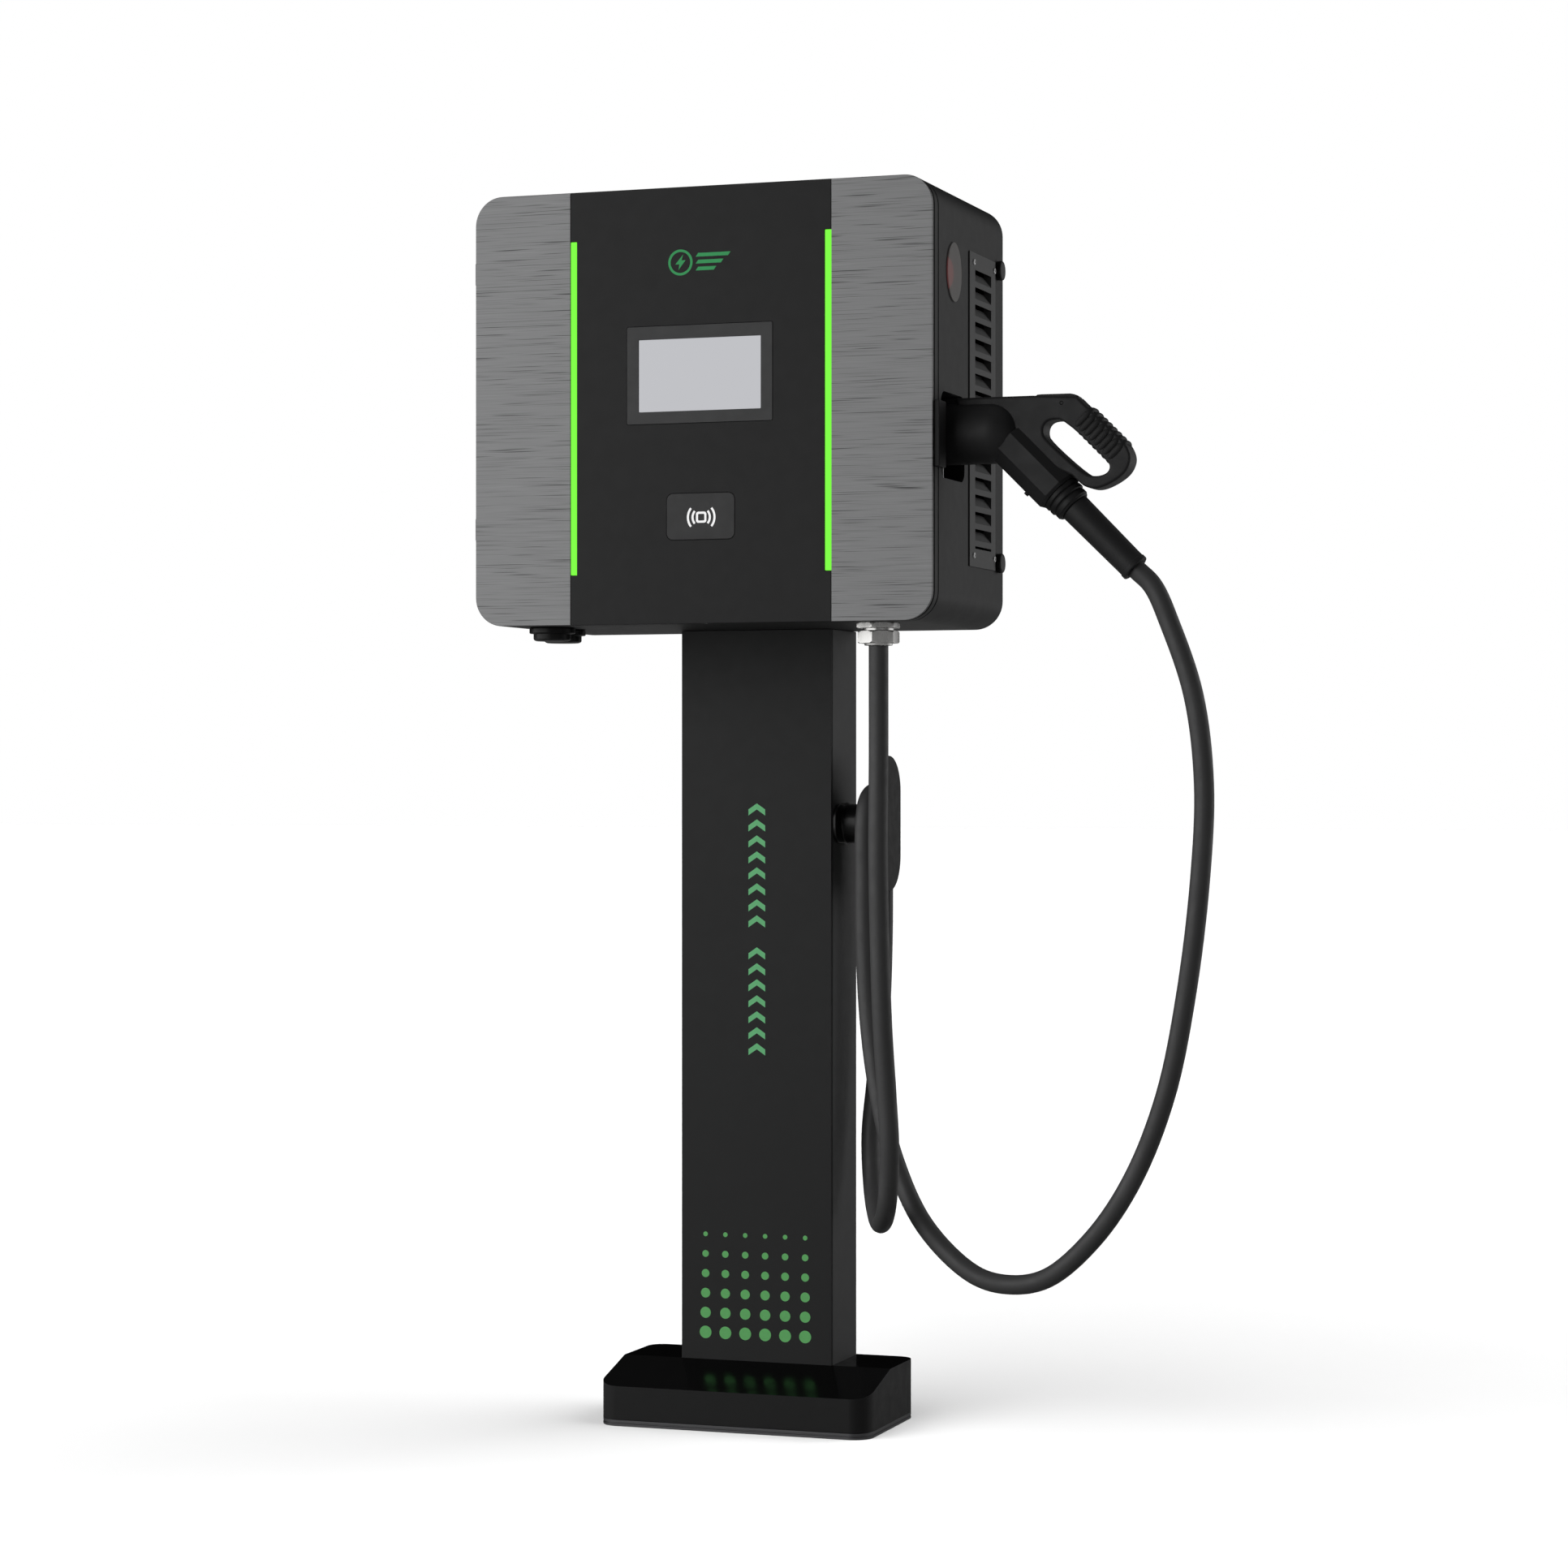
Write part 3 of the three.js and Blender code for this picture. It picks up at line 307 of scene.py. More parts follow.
def slab(name, outline, low, high, r, axis, holes=()):
    """An outline, with holes, pulled along an axis, with round edges of radius r."""
    steps = round_steps(r) if r else [(0, 0)]
    levels = [(i, low + d) for i, d in steps] + [(i, high - d) for i, d in reversed(steps)]
    verts, faces, caps = [], [], []
    for contour, sign in [(outline, 1)] + [(hole, -1) for hole in holes]:
        count = len(contour)
        base = len(verts)
        for i, w in levels:
            verts += [axis_map(axis, u, v, w) for u, v in inset(contour, i * sign)]
        for level in range(len(levels) - 1):
            faces += band(base + level * count, base + (level + 1) * count, count)
        caps.append((base, count))
    for last in (False, True):
        shift = len(levels) - 1 if last else 0
        index = [b + shift * c + i for b, c in caps for i in range(c)]
        flat = [[Vector(verts[b + shift * c + i]) for i in range(c)] for b, c in caps]
        faces += [tuple(index[k] for k in tri) for tri in tessellate_polygon(flat)]
    return shade(piece(name, verts, faces))


def tray(name, outline, back, front, wall, r, axis):
    """A box open at its front, with a round back edge."""
    toward = 1 if front > back else -1
    loops = [(inset(outline, i), back + d * toward) for i, d in round_steps(r)]
    lip = 0.5 * MM
    loops += [(outline, front - lip * toward), (inset(outline, lip), front)]
    loops += [(inset(outline, wall - lip), front), (inset(outline, wall), front - lip * toward)]
    loops += [(inset(outline, wall), back + wall * toward)]
    return shade(loft(name, loops, axis))


def frame_ring(name, outer, inner, low, high, r, axis):
    """A flat ring between two outlines with the same point count."""
    steps = round_steps(r, 3)
    rising, falling = [(i, low + d) for i, d in steps], [(i, high - d) for i, d in reversed(steps)]
    loops = [(inset(outer, i), w) for i, w in rising + falling]
    loops += [(inset(inner, -i), w) for i, w in reversed(rising + falling)]
    return shade(loft(name, loops, axis, closed=True))


def turned(name, profile, origin, direction, sides=48, smooth=32, spin=0.0, ring=False):
    """A lathe piece from (radius, height) points, closed on the axis or, as a ring, on itself."""
    turn = Vector(UP).rotation_difference(Vector(direction)).to_matrix()
    angles = [spin + 2 * math.pi * i / sides for i in range(sides)]
    points = [Vector((r * math.cos(a), r * math.sin(a), h)) for r, h in profile for a in angles]
    verts = [Vector(origin) + turn @ point for point in points]
    return shade(piece(name, verts, skin(len(profile), sides, ring)), smooth)


def tube(name, line, radius, sides):
    """A round tube along a line. The section is carried along without twist."""
    side = (line[1] - line[0]).normalized().orthogonal().normalized()
    verts = []
    for i, point in enumerate(line):
        ahead = (line[min(i + 1, len(line) - 1)] - line[max(i - 1, 0)]).normalized()
        side = (side - ahead * side.dot(ahead)).normalized()
        up = ahead.cross(side)
        for k in range(sides):
            a = 2 * math.pi * k / sides
            verts.append(point + (side * math.cos(a) + up * math.sin(a)) * radius)
    return shade(piece(name, verts, skin(len(line), sides)), 60)


def block(name, lo, hi, r=0.0):
    """A box with round edges between two corners."""
    outline = round_rect(lo[0], hi[0], lo[1], hi[1], max(r, 0.1 * MM), count=3)
    return slab(name, outline, lo[2], hi[2], r, "Z")


# ---- materials ----
class Surface:
    """A material's nodes, with short calls for the ones used here."""

    def __init__(self, name, colour, roughness, specular=0.5, metallic=0.0, **sockets):
        self.material = bpy.data.materials.new(name)
        self.material.use_nodes = True
        self.tree = self.material.node_tree
        self.shader = self.tree.nodes["Principled BSDF"]
        self.colour = (*colour, 1)
        sockets |= {"Base Color": self.colour, "Roughness": roughness, "Metallic": metallic}
        sockets["Specular IOR Level"] = specular
        for key, value in sockets.items():
            self.shader.inputs[key.replace("_", " ")].default_value = value
        self.place = self.node("ShaderNodeTexCoord").outputs["Object"]

    def node(self, kind, inputs=None, **values):
        made = self.tree.nodes.new(kind)
        for key, value in values.items():
            setattr(made, key, value)
        for key, value in (inputs or {}).items():
            if isinstance(value, bpy.types.NodeSocket):
                self.tree.links.new(value, made.inputs[key])
            else:
                made.inputs[key].default_value = value
        return made

    def stretched(self, scale, place=None):
        inputs = {"Vector": place or self.place, "Scale": scale}
        return self.node("ShaderNodeMapping", inputs).outputs["Vector"]

    def slid_rows(self, reach, step):
        """The place with each height slid sideways by its own amount, so that strokes don't line up."""
        height = self.node("ShaderNodeSeparateXYZ", {0: self.place}).outputs["Z"]
        inputs = {"W": height, "Scale": step, "Detail": 2.0}
        wave = self.node("ShaderNodeTexNoise", inputs, noise_dimensions="1D")
        slide = self.node("ShaderNodeCombineXYZ", {"X": self.times(wave.outputs["Fac"], reach)}).outputs[0]
        return self.node("ShaderNodeVectorMath", {0: self.place, 1: slide}, operation="ADD").outputs[0]

    def noise(self, scale, detail, stretch=(1, 1, 1), rough=0.5, place=None):
        vector = self.stretched(tuple(scale * s for s in stretch), place)
        inputs = {"Vector": vector, "Scale": 1.0, "Detail": detail, "Roughness": rough}
        return self.node("ShaderNodeTexNoise", inputs).outputs["Fac"]

    def remap(self, value, low, high, to_low=0.0, to_high=1.0):
        inputs = {"Value": value, "From Min": low, "From Max": high, "To Min": to_low, "To Max": to_high}
        return self.node("ShaderNodeMapRange", inputs).outputs["Result"]

    def times(self, a, b):
        return self.node("ShaderNodeMath", {0: a, 1: b}, operation="MULTIPLY").outputs[0]

    def blended(self, share, a, b):
        inputs = {"Factor": share, "A": a, "B": b}
        return self.node("ShaderNodeMix", inputs, data_type="RGBA").outputs["Result"]

    def clouds(self, colour, scale, detail, low, high):
        """A colour that drifts between two tones of itself."""
        return self.blended(self.noise(scale, detail), tone(colour, low), tone(colour, high))

    def paint(self, colour):
        self.tree.links.new(colour, self.shader.inputs["Base Color"])

    def rough(self, value):
        self.tree.links.new(value, self.shader.inputs["Roughness"])

    def patchy(self, scale, detail, low, high):
        """Roughness that drifts between two values."""
        self.rough(self.remap(self.noise(scale, detail), 0.3, 0.7, low, high))

    def glow(self, colour, strength):
        self.tree.links.new(colour, self.shader.inputs["Emission Color"])
        self.shader.inputs["Emission Strength"].default_value = strength

    def bump(self, height, distance, strength):
        made = self.node("ShaderNodeBump", {"Height": height, "Distance": distance, "Strength": strength})
        self.tree.links.new(made.outputs["Normal"], self.shader.inputs["Normal"])

    def edges(self):
        """1 on the sharp edges of the mesh and 0 away from them, broken up by noise."""
        turned_normal = self.node("ShaderNodeBevel", {"Radius": 0.8 * MM}, samples=4).outputs["Normal"]
        true_normal = self.node("ShaderNodeNewGeometry").outputs["Normal"]
        dot = self.node("ShaderNodeVectorMath", {0: turned_normal, 1: true_normal}, operation="DOT_PRODUCT")
        worn = self.remap(dot.outputs["Value"], 0.99, 0.85)
        return self.times(worn, self.remap(self.noise(90, 2), 0.42, 0.62))

    def wear(self, amount, light=1.9):
        """Lightens the colour a little on edges."""
        bright = tuple(min(1, c * light + 0.01) for c in self.colour[:3]) + (1,)
        source = self.shader.inputs["Base Color"]
        base = source.links[0].from_socket if source.links else self.colour
        self.paint(self.blended(self.times(self.edges(), amount), base, bright))


def tone(colour, factor):
    return tuple(c * factor for c in colour[:3]) + (1,)


def powder_coat(name, colour, roughness):
    """Powder coat: a fine orange peel, faint cloudy colour and slightly worn edges."""
    s = Surface(name, colour, roughness, specular=0.25)
    s.paint(s.clouds(colour, 14, 3, 0.96, 1.04))
    s.patchy(55, 4, roughness - 0.02, roughness + 0.025)
    s.bump(s.noise(1500, 2), 0.008 * MM, 0.2)
    s.wear(0.35)
    return s.material


def moulded(name, colour, roughness, specular, grain=2400, depth=0.012, glow=0.0):
    """Moulded plastic with a fine spark-eroded grain; where it glows, the glow is painted light, with no
    lamp inside.
    """
    s = Surface(name, colour, roughness, specular=specular, Emission_Strength=glow)
    s.shader.inputs["Emission Color"].default_value = s.colour
    s.paint(s.clouds(colour, 30, 2, 0.9, 1.12))
    s.patchy(70, 3, roughness - 0.05, roughness + 0.07)
    s.bump(s.noise(grain, 1), depth * MM, 0.6)
    s.wear(0.25)
    return s.material


def brushed_steel(name, colour):
    """Dark brushed steel: fine horizontal grain with sparse longer, darker strokes."""
    s = Surface(name, colour, 0.42, metallic=0.55, specular=0.4, Anisotropic=0.55)
    grain = s.noise(1, 3, (9, 30, 1500), 0.6)
    near, far = s.slid_rows(1.6, 22), s.slid_rows(2.3, 31)
    faint = s.remap(s.noise(1, 1, (11, 5, 980), 0.5, far), 0.54, 0.7, 0, 0.6)
    light = s.remap(s.noise(1, 1, (9, 5, 1150), 0.5, near), 0.6, 0.74, 0, 0.5)
    base = s.blended(s.remap(grain, 0.3, 0.7), tone(colour, 0.93), tone(colour, 1.06))
    base = s.blended(faint, base, tone(colour, 0.62))
    base = s.blended(light, base, tone(colour, 1.3))
    strokes = s.remap(s.noise(1, 0, (12, 5, 820), 0.5, near), 0.65, 0.8)
    base = s.blended(strokes, base, tone(colour, 0.2))
    s.paint(base)
    s.rough(s.remap(grain, 0.3, 0.7, 0.36, 0.5))
    s.bump(grain, 0.02 * MM, 0.5)
    s.wear(0.6, 1.6)
    return s.material


def gloss_lacquer(name, colour, painted_light_flank):
    """Deep gloss black with a faint ripple. Upright faces are rougher and carry painted light: a lighter
    tone than the near-black top, for how the lamps fall on them.
    """
    s = Surface(name, colour, 0.1, specular=0.24)
    base = s.clouds(colour, 20, 2, 0.8, 1.2)
    rough = s.remap(s.noise(45, 4), 0.35, 0.7, 0.13, 0.24)
    normal = s.node("ShaderNodeNewGeometry").outputs["Normal"]
    upright = s.remap(s.node("ShaderNodeSeparateXYZ", {0: normal}).outputs["Z"], 0.35, 0.12)
    # painted light: upright faces blend to the lighter flank tone, while the top keeps the near-black base
    s.paint(s.blended(upright, base, s.clouds(painted_light_flank, 30, 3, 0.94, 1.06)))
    s.rough(s.node("ShaderNodeMath", {0: rough, 1: s.times(upright, 0.3)}, operation="ADD").outputs[0])
    s.bump(s.noise(160, 1), 0.015 * MM, 0.4)
    s.wear(0.3, 3)
    return s.material


def metal(name, colour, roughness, stretch=(1, 1, 1), fine=900, spangle=0.0):
    """Plated or bare metal with fine tool marks along one way and, if asked, a zinc spangle."""
    s = Surface(name, colour, roughness, metallic=1.0)
    marks = s.noise(fine, 2, stretch)
    base = s.blended(s.remap(marks, 0.3, 0.7), tone(colour, 0.9), tone(colour, 1.05))
    if spangle:
        cells = s.node("ShaderNodeTexVoronoi", {"Vector": s.stretched((110, 110, 110)), "Scale": 1.0})
        base = s.blended(s.times(cells.outputs["Color"], spangle), base, tone(colour, 0.6))
    s.paint(base)
    s.rough(s.remap(marks, 0.3, 0.7, roughness - 0.05, roughness + 0.08))
    s.bump(marks, 0.004 * MM, 0.3)
    return s.material


def rubber_jacket(name, colour, roughness):
    """Cable jacket and boots: matt rubber with a slight sheen, dust and scuffs."""
    s = Surface(name, colour, roughness, specular=0.45)
    scuffs = s.remap(s.noise(24, 5, (1, 1, 0.3)), 0.55, 0.8)
    s.paint(s.blended(s.times(scuffs, 0.5), s.colour, tone(colour, 1.9)))
    s.patchy(60, 4, roughness - 0.06, roughness + 0.1)
    s.bump(s.noise(1900, 2), 0.015 * MM, 0.5)
    return s.material


def lit_diffuser(name, colour, strength):
    """A light-guiding strip: it glows, a little unevenly along its length."""
    s = Surface(name, tone(colour, 0.02)[:3], 0.35, specular=0.2)
    s.glow(s.clouds(colour, 60, 2, 0.97, 1.03), strength)
    s.bump(s.noise(1200, 1), 0.01 * MM, 0.4)
    return s.material


def display_glass(name, colour, strength):
    """A lit screen under cover glass, its glow drifting slightly in tone."""
    s = Surface(name, (0.02, 0.02, 0.022), 0.16, specular=0.3)
    s.glow(s.clouds(colour, 7, 1, 0.985, 1.015), strength)
    s.patchy(80, 2, 0.12, 0.2)
    return s.material


def smoked_clear(name, colour):
    """The smoked lid: mostly see-through, with a faint haze and scratches."""
    s = Surface(name, colour, 0.4, specular=0.25, Alpha=0.55)
    s.rough(s.remap(s.noise(70, 4, (1, 6, 1)), 0.35, 0.7, 0.36, 0.5))
    s.paint(s.clouds(colour, 40, 2, 0.97, 1.03))
    return s.material


def printed(name, colour, glow=0.0):
    """Screen-printed ink, slightly uneven; where it glows, the glow is painted light that brightens the ink,
    with no lamp behind it.
    """
    s = Surface(name, colour, 0.42, specular=0.35, Emission_Strength=glow)
    s.shader.inputs["Emission Color"].default_value = s.colour
    s.paint(s.clouds(colour, 220, 3, 0.93, 1.05))
    s.bump(s.noise(2200, 1), 0.008 * MM, 0.5)
    return s.material


def circuit_green(name):
    """A solder-masked board with darker tracks."""
    colour = (0.012, 0.09, 0.03)
    s = Surface(name, colour, 0.3)
    tracks = s.node("ShaderNodeTexBrick", {"Vector": s.stretched((90, 90, 90)), "Scale": 1.0})
    s.paint(s.blended(s.times(tracks.outputs["Fac"], 0.6), s.colour, (0.03, 0.2, 0.07, 1)))
    s.bump(tracks.outputs["Fac"], 0.03 * MM, 0.6)
    return s.material


LOOKS = {
    "grey": powder_coat("coat_dark_grey", (0.0368, 0.0373, 0.0378), 0.5),
    # partly painted light: the grilles' own grey is lighter than the side coat, and it is raised further to
    # make up for light blocked around them
    "vent": powder_coat("coat_vent_grey", (0.155, 0.156, 0.157), 0.5),
    # painted light: the column body has a copy of the column coat, about 2.7 times lighter than the front
    # cover's, so its side shows lit
    "column_side": powder_coat("coat_column_side", (0.088, 0.089, 0.09), 0.54),
    "black": powder_coat("coat_black", (0.0255, 0.0255, 0.0259), 0.52),
    "column": powder_coat("coat_column_grey", (0.0322, 0.0326, 0.033), 0.52),
    "brushed": brushed_steel("brushed_dark_steel", (0.27, 0.272, 0.275)),
    # the foot cover: near black on top; the second colour is painted light for its upright faces
    "gloss": gloss_lacquer("gloss_black", (0.001, 0.001, 0.0011), (0.0215, 0.0215, 0.0218)),
    "satin": moulded("satin_black", (0.012, 0.012, 0.0122), 0.34, 0.4),
    "hook": moulded("hook_black", (0.034, 0.034, 0.0345), 0.5, 0.16),
    "zinc": metal("zinc_plate", (0.5, 0.51, 0.52), 0.36, spangle=0.35),
    "base_steel": metal("base_plate_steel", (0.16, 0.16, 0.165), 0.4, (1, 1, 4)),
    "bright": metal("bright_zinc", (0.6, 0.6, 0.6), 0.5),
    "nickel": metal("nickel_plate", (0.74, 0.735, 0.72), 0.26, (1, 1, 0.05), 60),
    "rubber": rubber_jacket("rubber_black", (0.032, 0.032, 0.033), 0.55),
    "cable": rubber_jacket("cable_jacket", (0.095, 0.095, 0.096), 0.5),
    "plastic": moulded("plastic_black", (0.022, 0.022, 0.0225), 0.5, 0.3),
    "gun": moulded("plastic_connector", (0.034, 0.034, 0.035), 0.5, 0.3),
    "grip": moulded("plastic_grip", (0.026, 0.026, 0.0265), 0.55, 0.3, 1500, 0.03),
    "deep": moulded("plastic_deep_black", (0.006, 0.006, 0.0062), 0.4, 0.3),
    "bezel": moulded("bezel_black", (0.095, 0.096, 0.097), 0.5, 0.25, 3000, 0.006),
    "pad": moulded("pad_black", (0.078, 0.078, 0.079), 0.5, 0.25, 2600, 0.008),
    "knob": moulded("knob_face_grey", (0.075, 0.075, 0.076), 0.5, 0.3),
    # painted light: the stop button glows to stand in for light reaching it through the smoked lid
    "red": moulded("stop_red", (0.55, 0.012, 0.012), 0.35, 0.5, glow=0.32),
    "light": moulded("module_light_grey", (0.42, 0.425, 0.43), 0.45, 0.4),
    "aluminium": metal("extruded_aluminium", (0.62, 0.63, 0.64), 0.34, (1, 1, 0.04)),
    "copper": metal("tinned_contact", (0.65, 0.5, 0.3), 0.25, (0.05, 1, 1)),
    "led": lit_diffuser("led_green_light", (0.202, 1.0, 0.051), 1.0),
    "screen": display_glass("screen_light", (0.49, 0.495, 0.52), 1.0),
    "clear": smoked_clear("lid_smoked", (0.52, 0.51, 0.5)),
    "green": printed("print_green", (0.25, 0.88, 0.27)),
    "mark": printed("print_green_mark", (0.05, 0.66, 0.19)),
    # painted light: the arrows and the white card icon glow a little to look brighter; no lamp lights them
    "arrow": printed("print_green_arrow", (0.24, 0.85, 0.36), 0.06),
    "white": printed("print_white", (0.86, 0.86, 0.86), 0.7),
    "board": circuit_green("circuit_board"),
}
BODIES = frame["record"]["behaviour"]["bodies"]


def dress(obj, look, node=None, body=None):
    """Gives a piece its look and slot, and seats it on a body or on that of the CAD node it stands for."""
    weigh(obj)
    obj.data.materials.clear()
    obj.data.materials.append(LOOKS[look])
    if node:
        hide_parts(node)
        body = next(body for body, nodes in BODIES.items() if node in nodes)
    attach(obj, body)
    return obj


# ---- the charging cable and what is on it ----
CABLE_R = 12 * MM
CABLE_ROUTE = [
    (0.206, -0.148, 0.9527), (0.206, -0.148, 0.9), (0.206, -0.148, 0.82), (0.205, -0.147, 0.708),
    (0.206, -0.144, 0.6), (0.208, -0.139, 0.5), (0.211, -0.131, 0.415), (0.212, -0.124, 0.352),
    (0.2, -0.098, 0.283), (0.1715, -0.036, 0.255), (0.143, 0.026, 0.283), (0.131, 0.052, 0.352),
    (0.133, 0.066, 0.42), (0.1365, 0.077, 0.51), (0.138, 0.0822, 0.61), (0.138, 0.0822, 0.7),
    (0.138, 0.0822, 0.74), (0.138, 0.0712, 0.767), (0.138, 0.0442, 0.7782), (0.138, 0.0172, 0.767),
    (0.138, 0.0062, 0.74), (0.138, 0.0055, 0.68), (0.139, 0.0035, 0.606), (0.147, -0.004, 0.5),
    (0.161, -0.013, 0.418), (0.186, -0.026, 0.334), (0.23, -0.041, 0.255), (0.297, -0.058, 0.201),
    (0.345, -0.068, 0.192), (0.393, -0.077, 0.203), (0.452, -0.089, 0.253), (0.503, -0.1, 0.326),
    (0.544, -0.1085, 0.425), (0.57, -0.115, 0.542), (0.588, -0.119, 0.68), (0.593, -0.1215, 0.79),
    (0.581, -0.123, 0.892), (0.553, -0.123, 0.975),
]
GUN_Y = -123 * MM
GUN_Z = 1203 * MM
GUN_END = Vector((421.5 * MM, GUN_Y, 1130.5 * MM))  # middle of the slanted body's end face
SLANT = Vector((1, 0, -1)).normalized()
COLLAR_END = 25 * MM  # along the slant, from the slanted body's end face
BOOT_END = 129 * MM


def along_slant(distance):
    return GUN_END + SLANT * distance


CABLE_END = BOOT_END + GAP
IN_CONNECTOR = [
    *map(along_slant, (CABLE_END + 28 * MM, CABLE_END, 60 * MM, 0, -50 * MM)),
    (361 * MM, GUN_Y, 1192 * MM), (325 * MM, GUN_Y, GUN_Z),
]
CABLE_LINE = spline([*CABLE_ROUTE, *IN_CONNECTOR])


def make_cable():
    cable = tube("cable", CABLE_LINE, CABLE_R - GAP, 28)
    cable.data.materials.append(LOOKS["cable"])
    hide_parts("charging_cable")
    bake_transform(cable)
    return cable


def make_collar():
    """The ringed clamp between the connector and its boot."""
    profile = [
        (12.1, 0.3), (23.4, 0.3), (24.4, 1.2), (24.5, 5.2), (23.6, 6.2), (22.3, 6.8), (22.3, 7.6),
        (23.4, 8.2), (24, 9.2), (24, 13), (23.2, 14), (21.6, 14.6), (21.5, 15.6), (22.2, 16.3),
        (22.5, 17.3), (22.5, 21.5), (21.8, 22.6), (21, 23.2), (20.9, 24), (19.6, 25), (12.1, 25),
    ]
    rings = turned("collar_rings", mm(profile), GUN_END, SLANT, 64, ring=True)
    return dress(rings, "plastic", "connector_collar")


def make_boot():
    """The tapered strain relief over the end of the cable."""
    start, end, taper = (COLLAR_END + GAP) / MM, BOOT_END / MM, 95
    profile = [(12.1, start), (17.6, start), (18.2, start + 1)]
    steps = 24
    profile += [(18.2 - 1.4 * i / steps, start + 1 + taper * i / steps) for i in range(1, steps)]
    profile += [(16.9, end - 7), (17.6, end - 6), (17.7, end - 1.6), (17.2, end - 0.6), (16, end)]
    profile += [(12.7, end), (12.1, end - 0.8)]
    return dress(turned("boot", mm(profile), GUN_END, SLANT, 56, ring=True), "gun", "cable_boot")


CABLE = make_cable()
ON_CABLE = [make_collar(), make_boot()]


# ---- the cabinet's body ----
def sides(node):
    """A node's box as x0, x1, y0, y1, z0, z1."""
    lo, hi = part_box(node)
    return lo.x, hi.x, lo.y, hi.y, lo.z, hi.z


def cabinet_outline(step=0.0):
    half = SIDE - step
    return round_rect(-half, half, SHELL[0].z + step, SHELL[1].z - step, CABINET_R - step, count=14)


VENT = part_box("vent_grille_right")
STOP = (-120.2 * MM, 1394.9 * MM)
RECESS_R = 14 * MM
OUT_GLAND = (206 * MM, -148 * MM)
IN_GLANDS = [(-216 * MM, -140 * MM), (-229 * MM, -75 * MM)]


def stop_oval(grow=0.0, count=64):
    return oval(*STOP, 28.15 * MM + grow, 35.15 * MM + grow, count)


def recess_outline(grow=0.0):
    y0, y1, z0, z1 = sides("holster_box")[2:]
    rim = 6 * MM - grow
    return round_rect(y0 + rim, y1 - rim, z0 + rim, z1 - rim, RECESS_R + grow, count=8)


def entry_outline():
    return round_rect(-42 * MM, 42 * MM, 18 * MM, 78 * MM, 10 * MM, count=6)


def make_housing():
    """The welded tray that forms the cabinet's sides and back, with its windows cut out."""
    shell = tray("cabinet_shell", cabinet_outline(), SHELL[1].y, SHELL[0].y, SHEET, 2 * MM, "Y")
    lo, hi = VENT
    low, high = SIDE - 10 * MM, SIDE + 10 * MM
    rim, rear_rim = 13 * MM, 11 * MM
    for x0, x1 in ((low, high), (-high, -low)):
        carve(shell, block("window", (x0, lo.y + rim, lo.z + rim), (x1, hi.y - rear_rim, hi.z - rim)))
    for outline in (stop_oval(-2 * MM), recess_outline()):
        carve(shell, slab("hole", outline, low, high, 0, "X"))
    floor = (SHELL[0].z - 10 * MM, SHELL[0].z + 10 * MM)
    for place, r in ((OUT_GLAND, 20.4 * MM), *((place, 18.4 * MM) for place in IN_GLANDS)):
        carve(shell, slab("gland_hole", oval(*place, r, r, 40), *floor, 0, "Z"))
    carve(shell, slab("entry", entry_outline(), *floor, 0, "Z"))
    bevel(shell, 0.5 * MM, 2, 50)
    dress(shell, "grey", "housing_shell")


def pan_screw(origin, direction, r, height=2 * MM):
    """A pan-head screw with a round socket."""
    profile = [
        (r, -0.2 * MM), (r, height * 0.35), (r * 0.93, height * 0.7), (r * 0.75, height * 0.93),
        (r * 0.5, height), (r * 0.46, height * 0.9), (r * 0.42, height * 0.35), (r * 0.1, height * 0.3),
    ]
    return turned("screw", profile, origin, direction, 28)


def make_vent_screws():
    """A screw in each corner of both grilles."""
    for way, side_name in ((1, "right"), (-1, "left")):
        face = way * (SIDE + 1.7 * MM)
        places = [(face, y * MM, z * MM) for y in (-40.6, 46.7) for z in (1417.4, 1064.3)]
        screws = [pan_screw(place, (way, 0, 0), 3.8 * MM, 1.9 * MM) for place in places]
        dress(merge(f"vent_screws_{side_name}", *screws), "bright", body="root")


def make_knobs():
    """The two rubber-cased knobs behind the right grille: a black side and a grey face."""
    case = [
        (11.2, 0), (11.8, 0.4), (11.8, 2), (12, 2.5), (12, 5.2), (11.7, 6.1), (11, 6.7), (10.2, 6.9),
        (10, 6.4),
    ]
    for i in (1, 2):
        x0, x1, y0, y1, z0, z1 = sides(f"side_knob_{i}")
        centre = (x0, (y0 + y1) / 2, (z0 + z1) / 2)
        depth = (x1 - x0) / MM
        face = [(10.1, 5), (10.1, depth - 0.5), (9.6, depth - 0.05), (2, depth)]
        dress(turned(f"knob_case_{i}", mm(case), centre, RIGHT, 56), "deep", f"side_knob_{i}")
        dress(turned(f"knob_face_{i}", mm(face), centre, RIGHT, 56), "knob", body="root")


def make_holster():
    """The recess in the right side that the connector rests in."""
    x0, x1 = sides("holster_box")[:2]
    pan = tray("holster_pan", recess_outline(2 * MM), x0, x1, 2 * MM, 1.5 * MM, "X")
    rim, mouth = recess_outline(6 * MM), recess_outline(1.5 * MM)
    flange = frame_ring("flange", rim, mouth, x1 - 2 * MM, x1, 0.3 * MM, "X")
    drain = block("drain", *mm([(230, -140, 1140), (250, -106, 1155)]))
    dress(carve(unite(pan, flange), drain), "black", "holster_box")
    back = (sides("holster_socket")[0], GUN_Y, GUN_Z)
    profile = [
        (31, 3.1), (31, 31), (31.6, 31.7), (34, 31.7), (35, 30.8), (35, 5), (36, 3.6), (39, 3), (40, 2.4),
        (40, 0), (30, 0), (30, 3.1),
    ]
    ring = turned("holster_ring", mm(profile), back, RIGHT, 64, ring=True)
    floor = turned("floor", mm([(30.5, 0.1), (30.5, 3)]), back, RIGHT, 64)
    dress(unite(ring, floor), "plastic", "holster_socket")


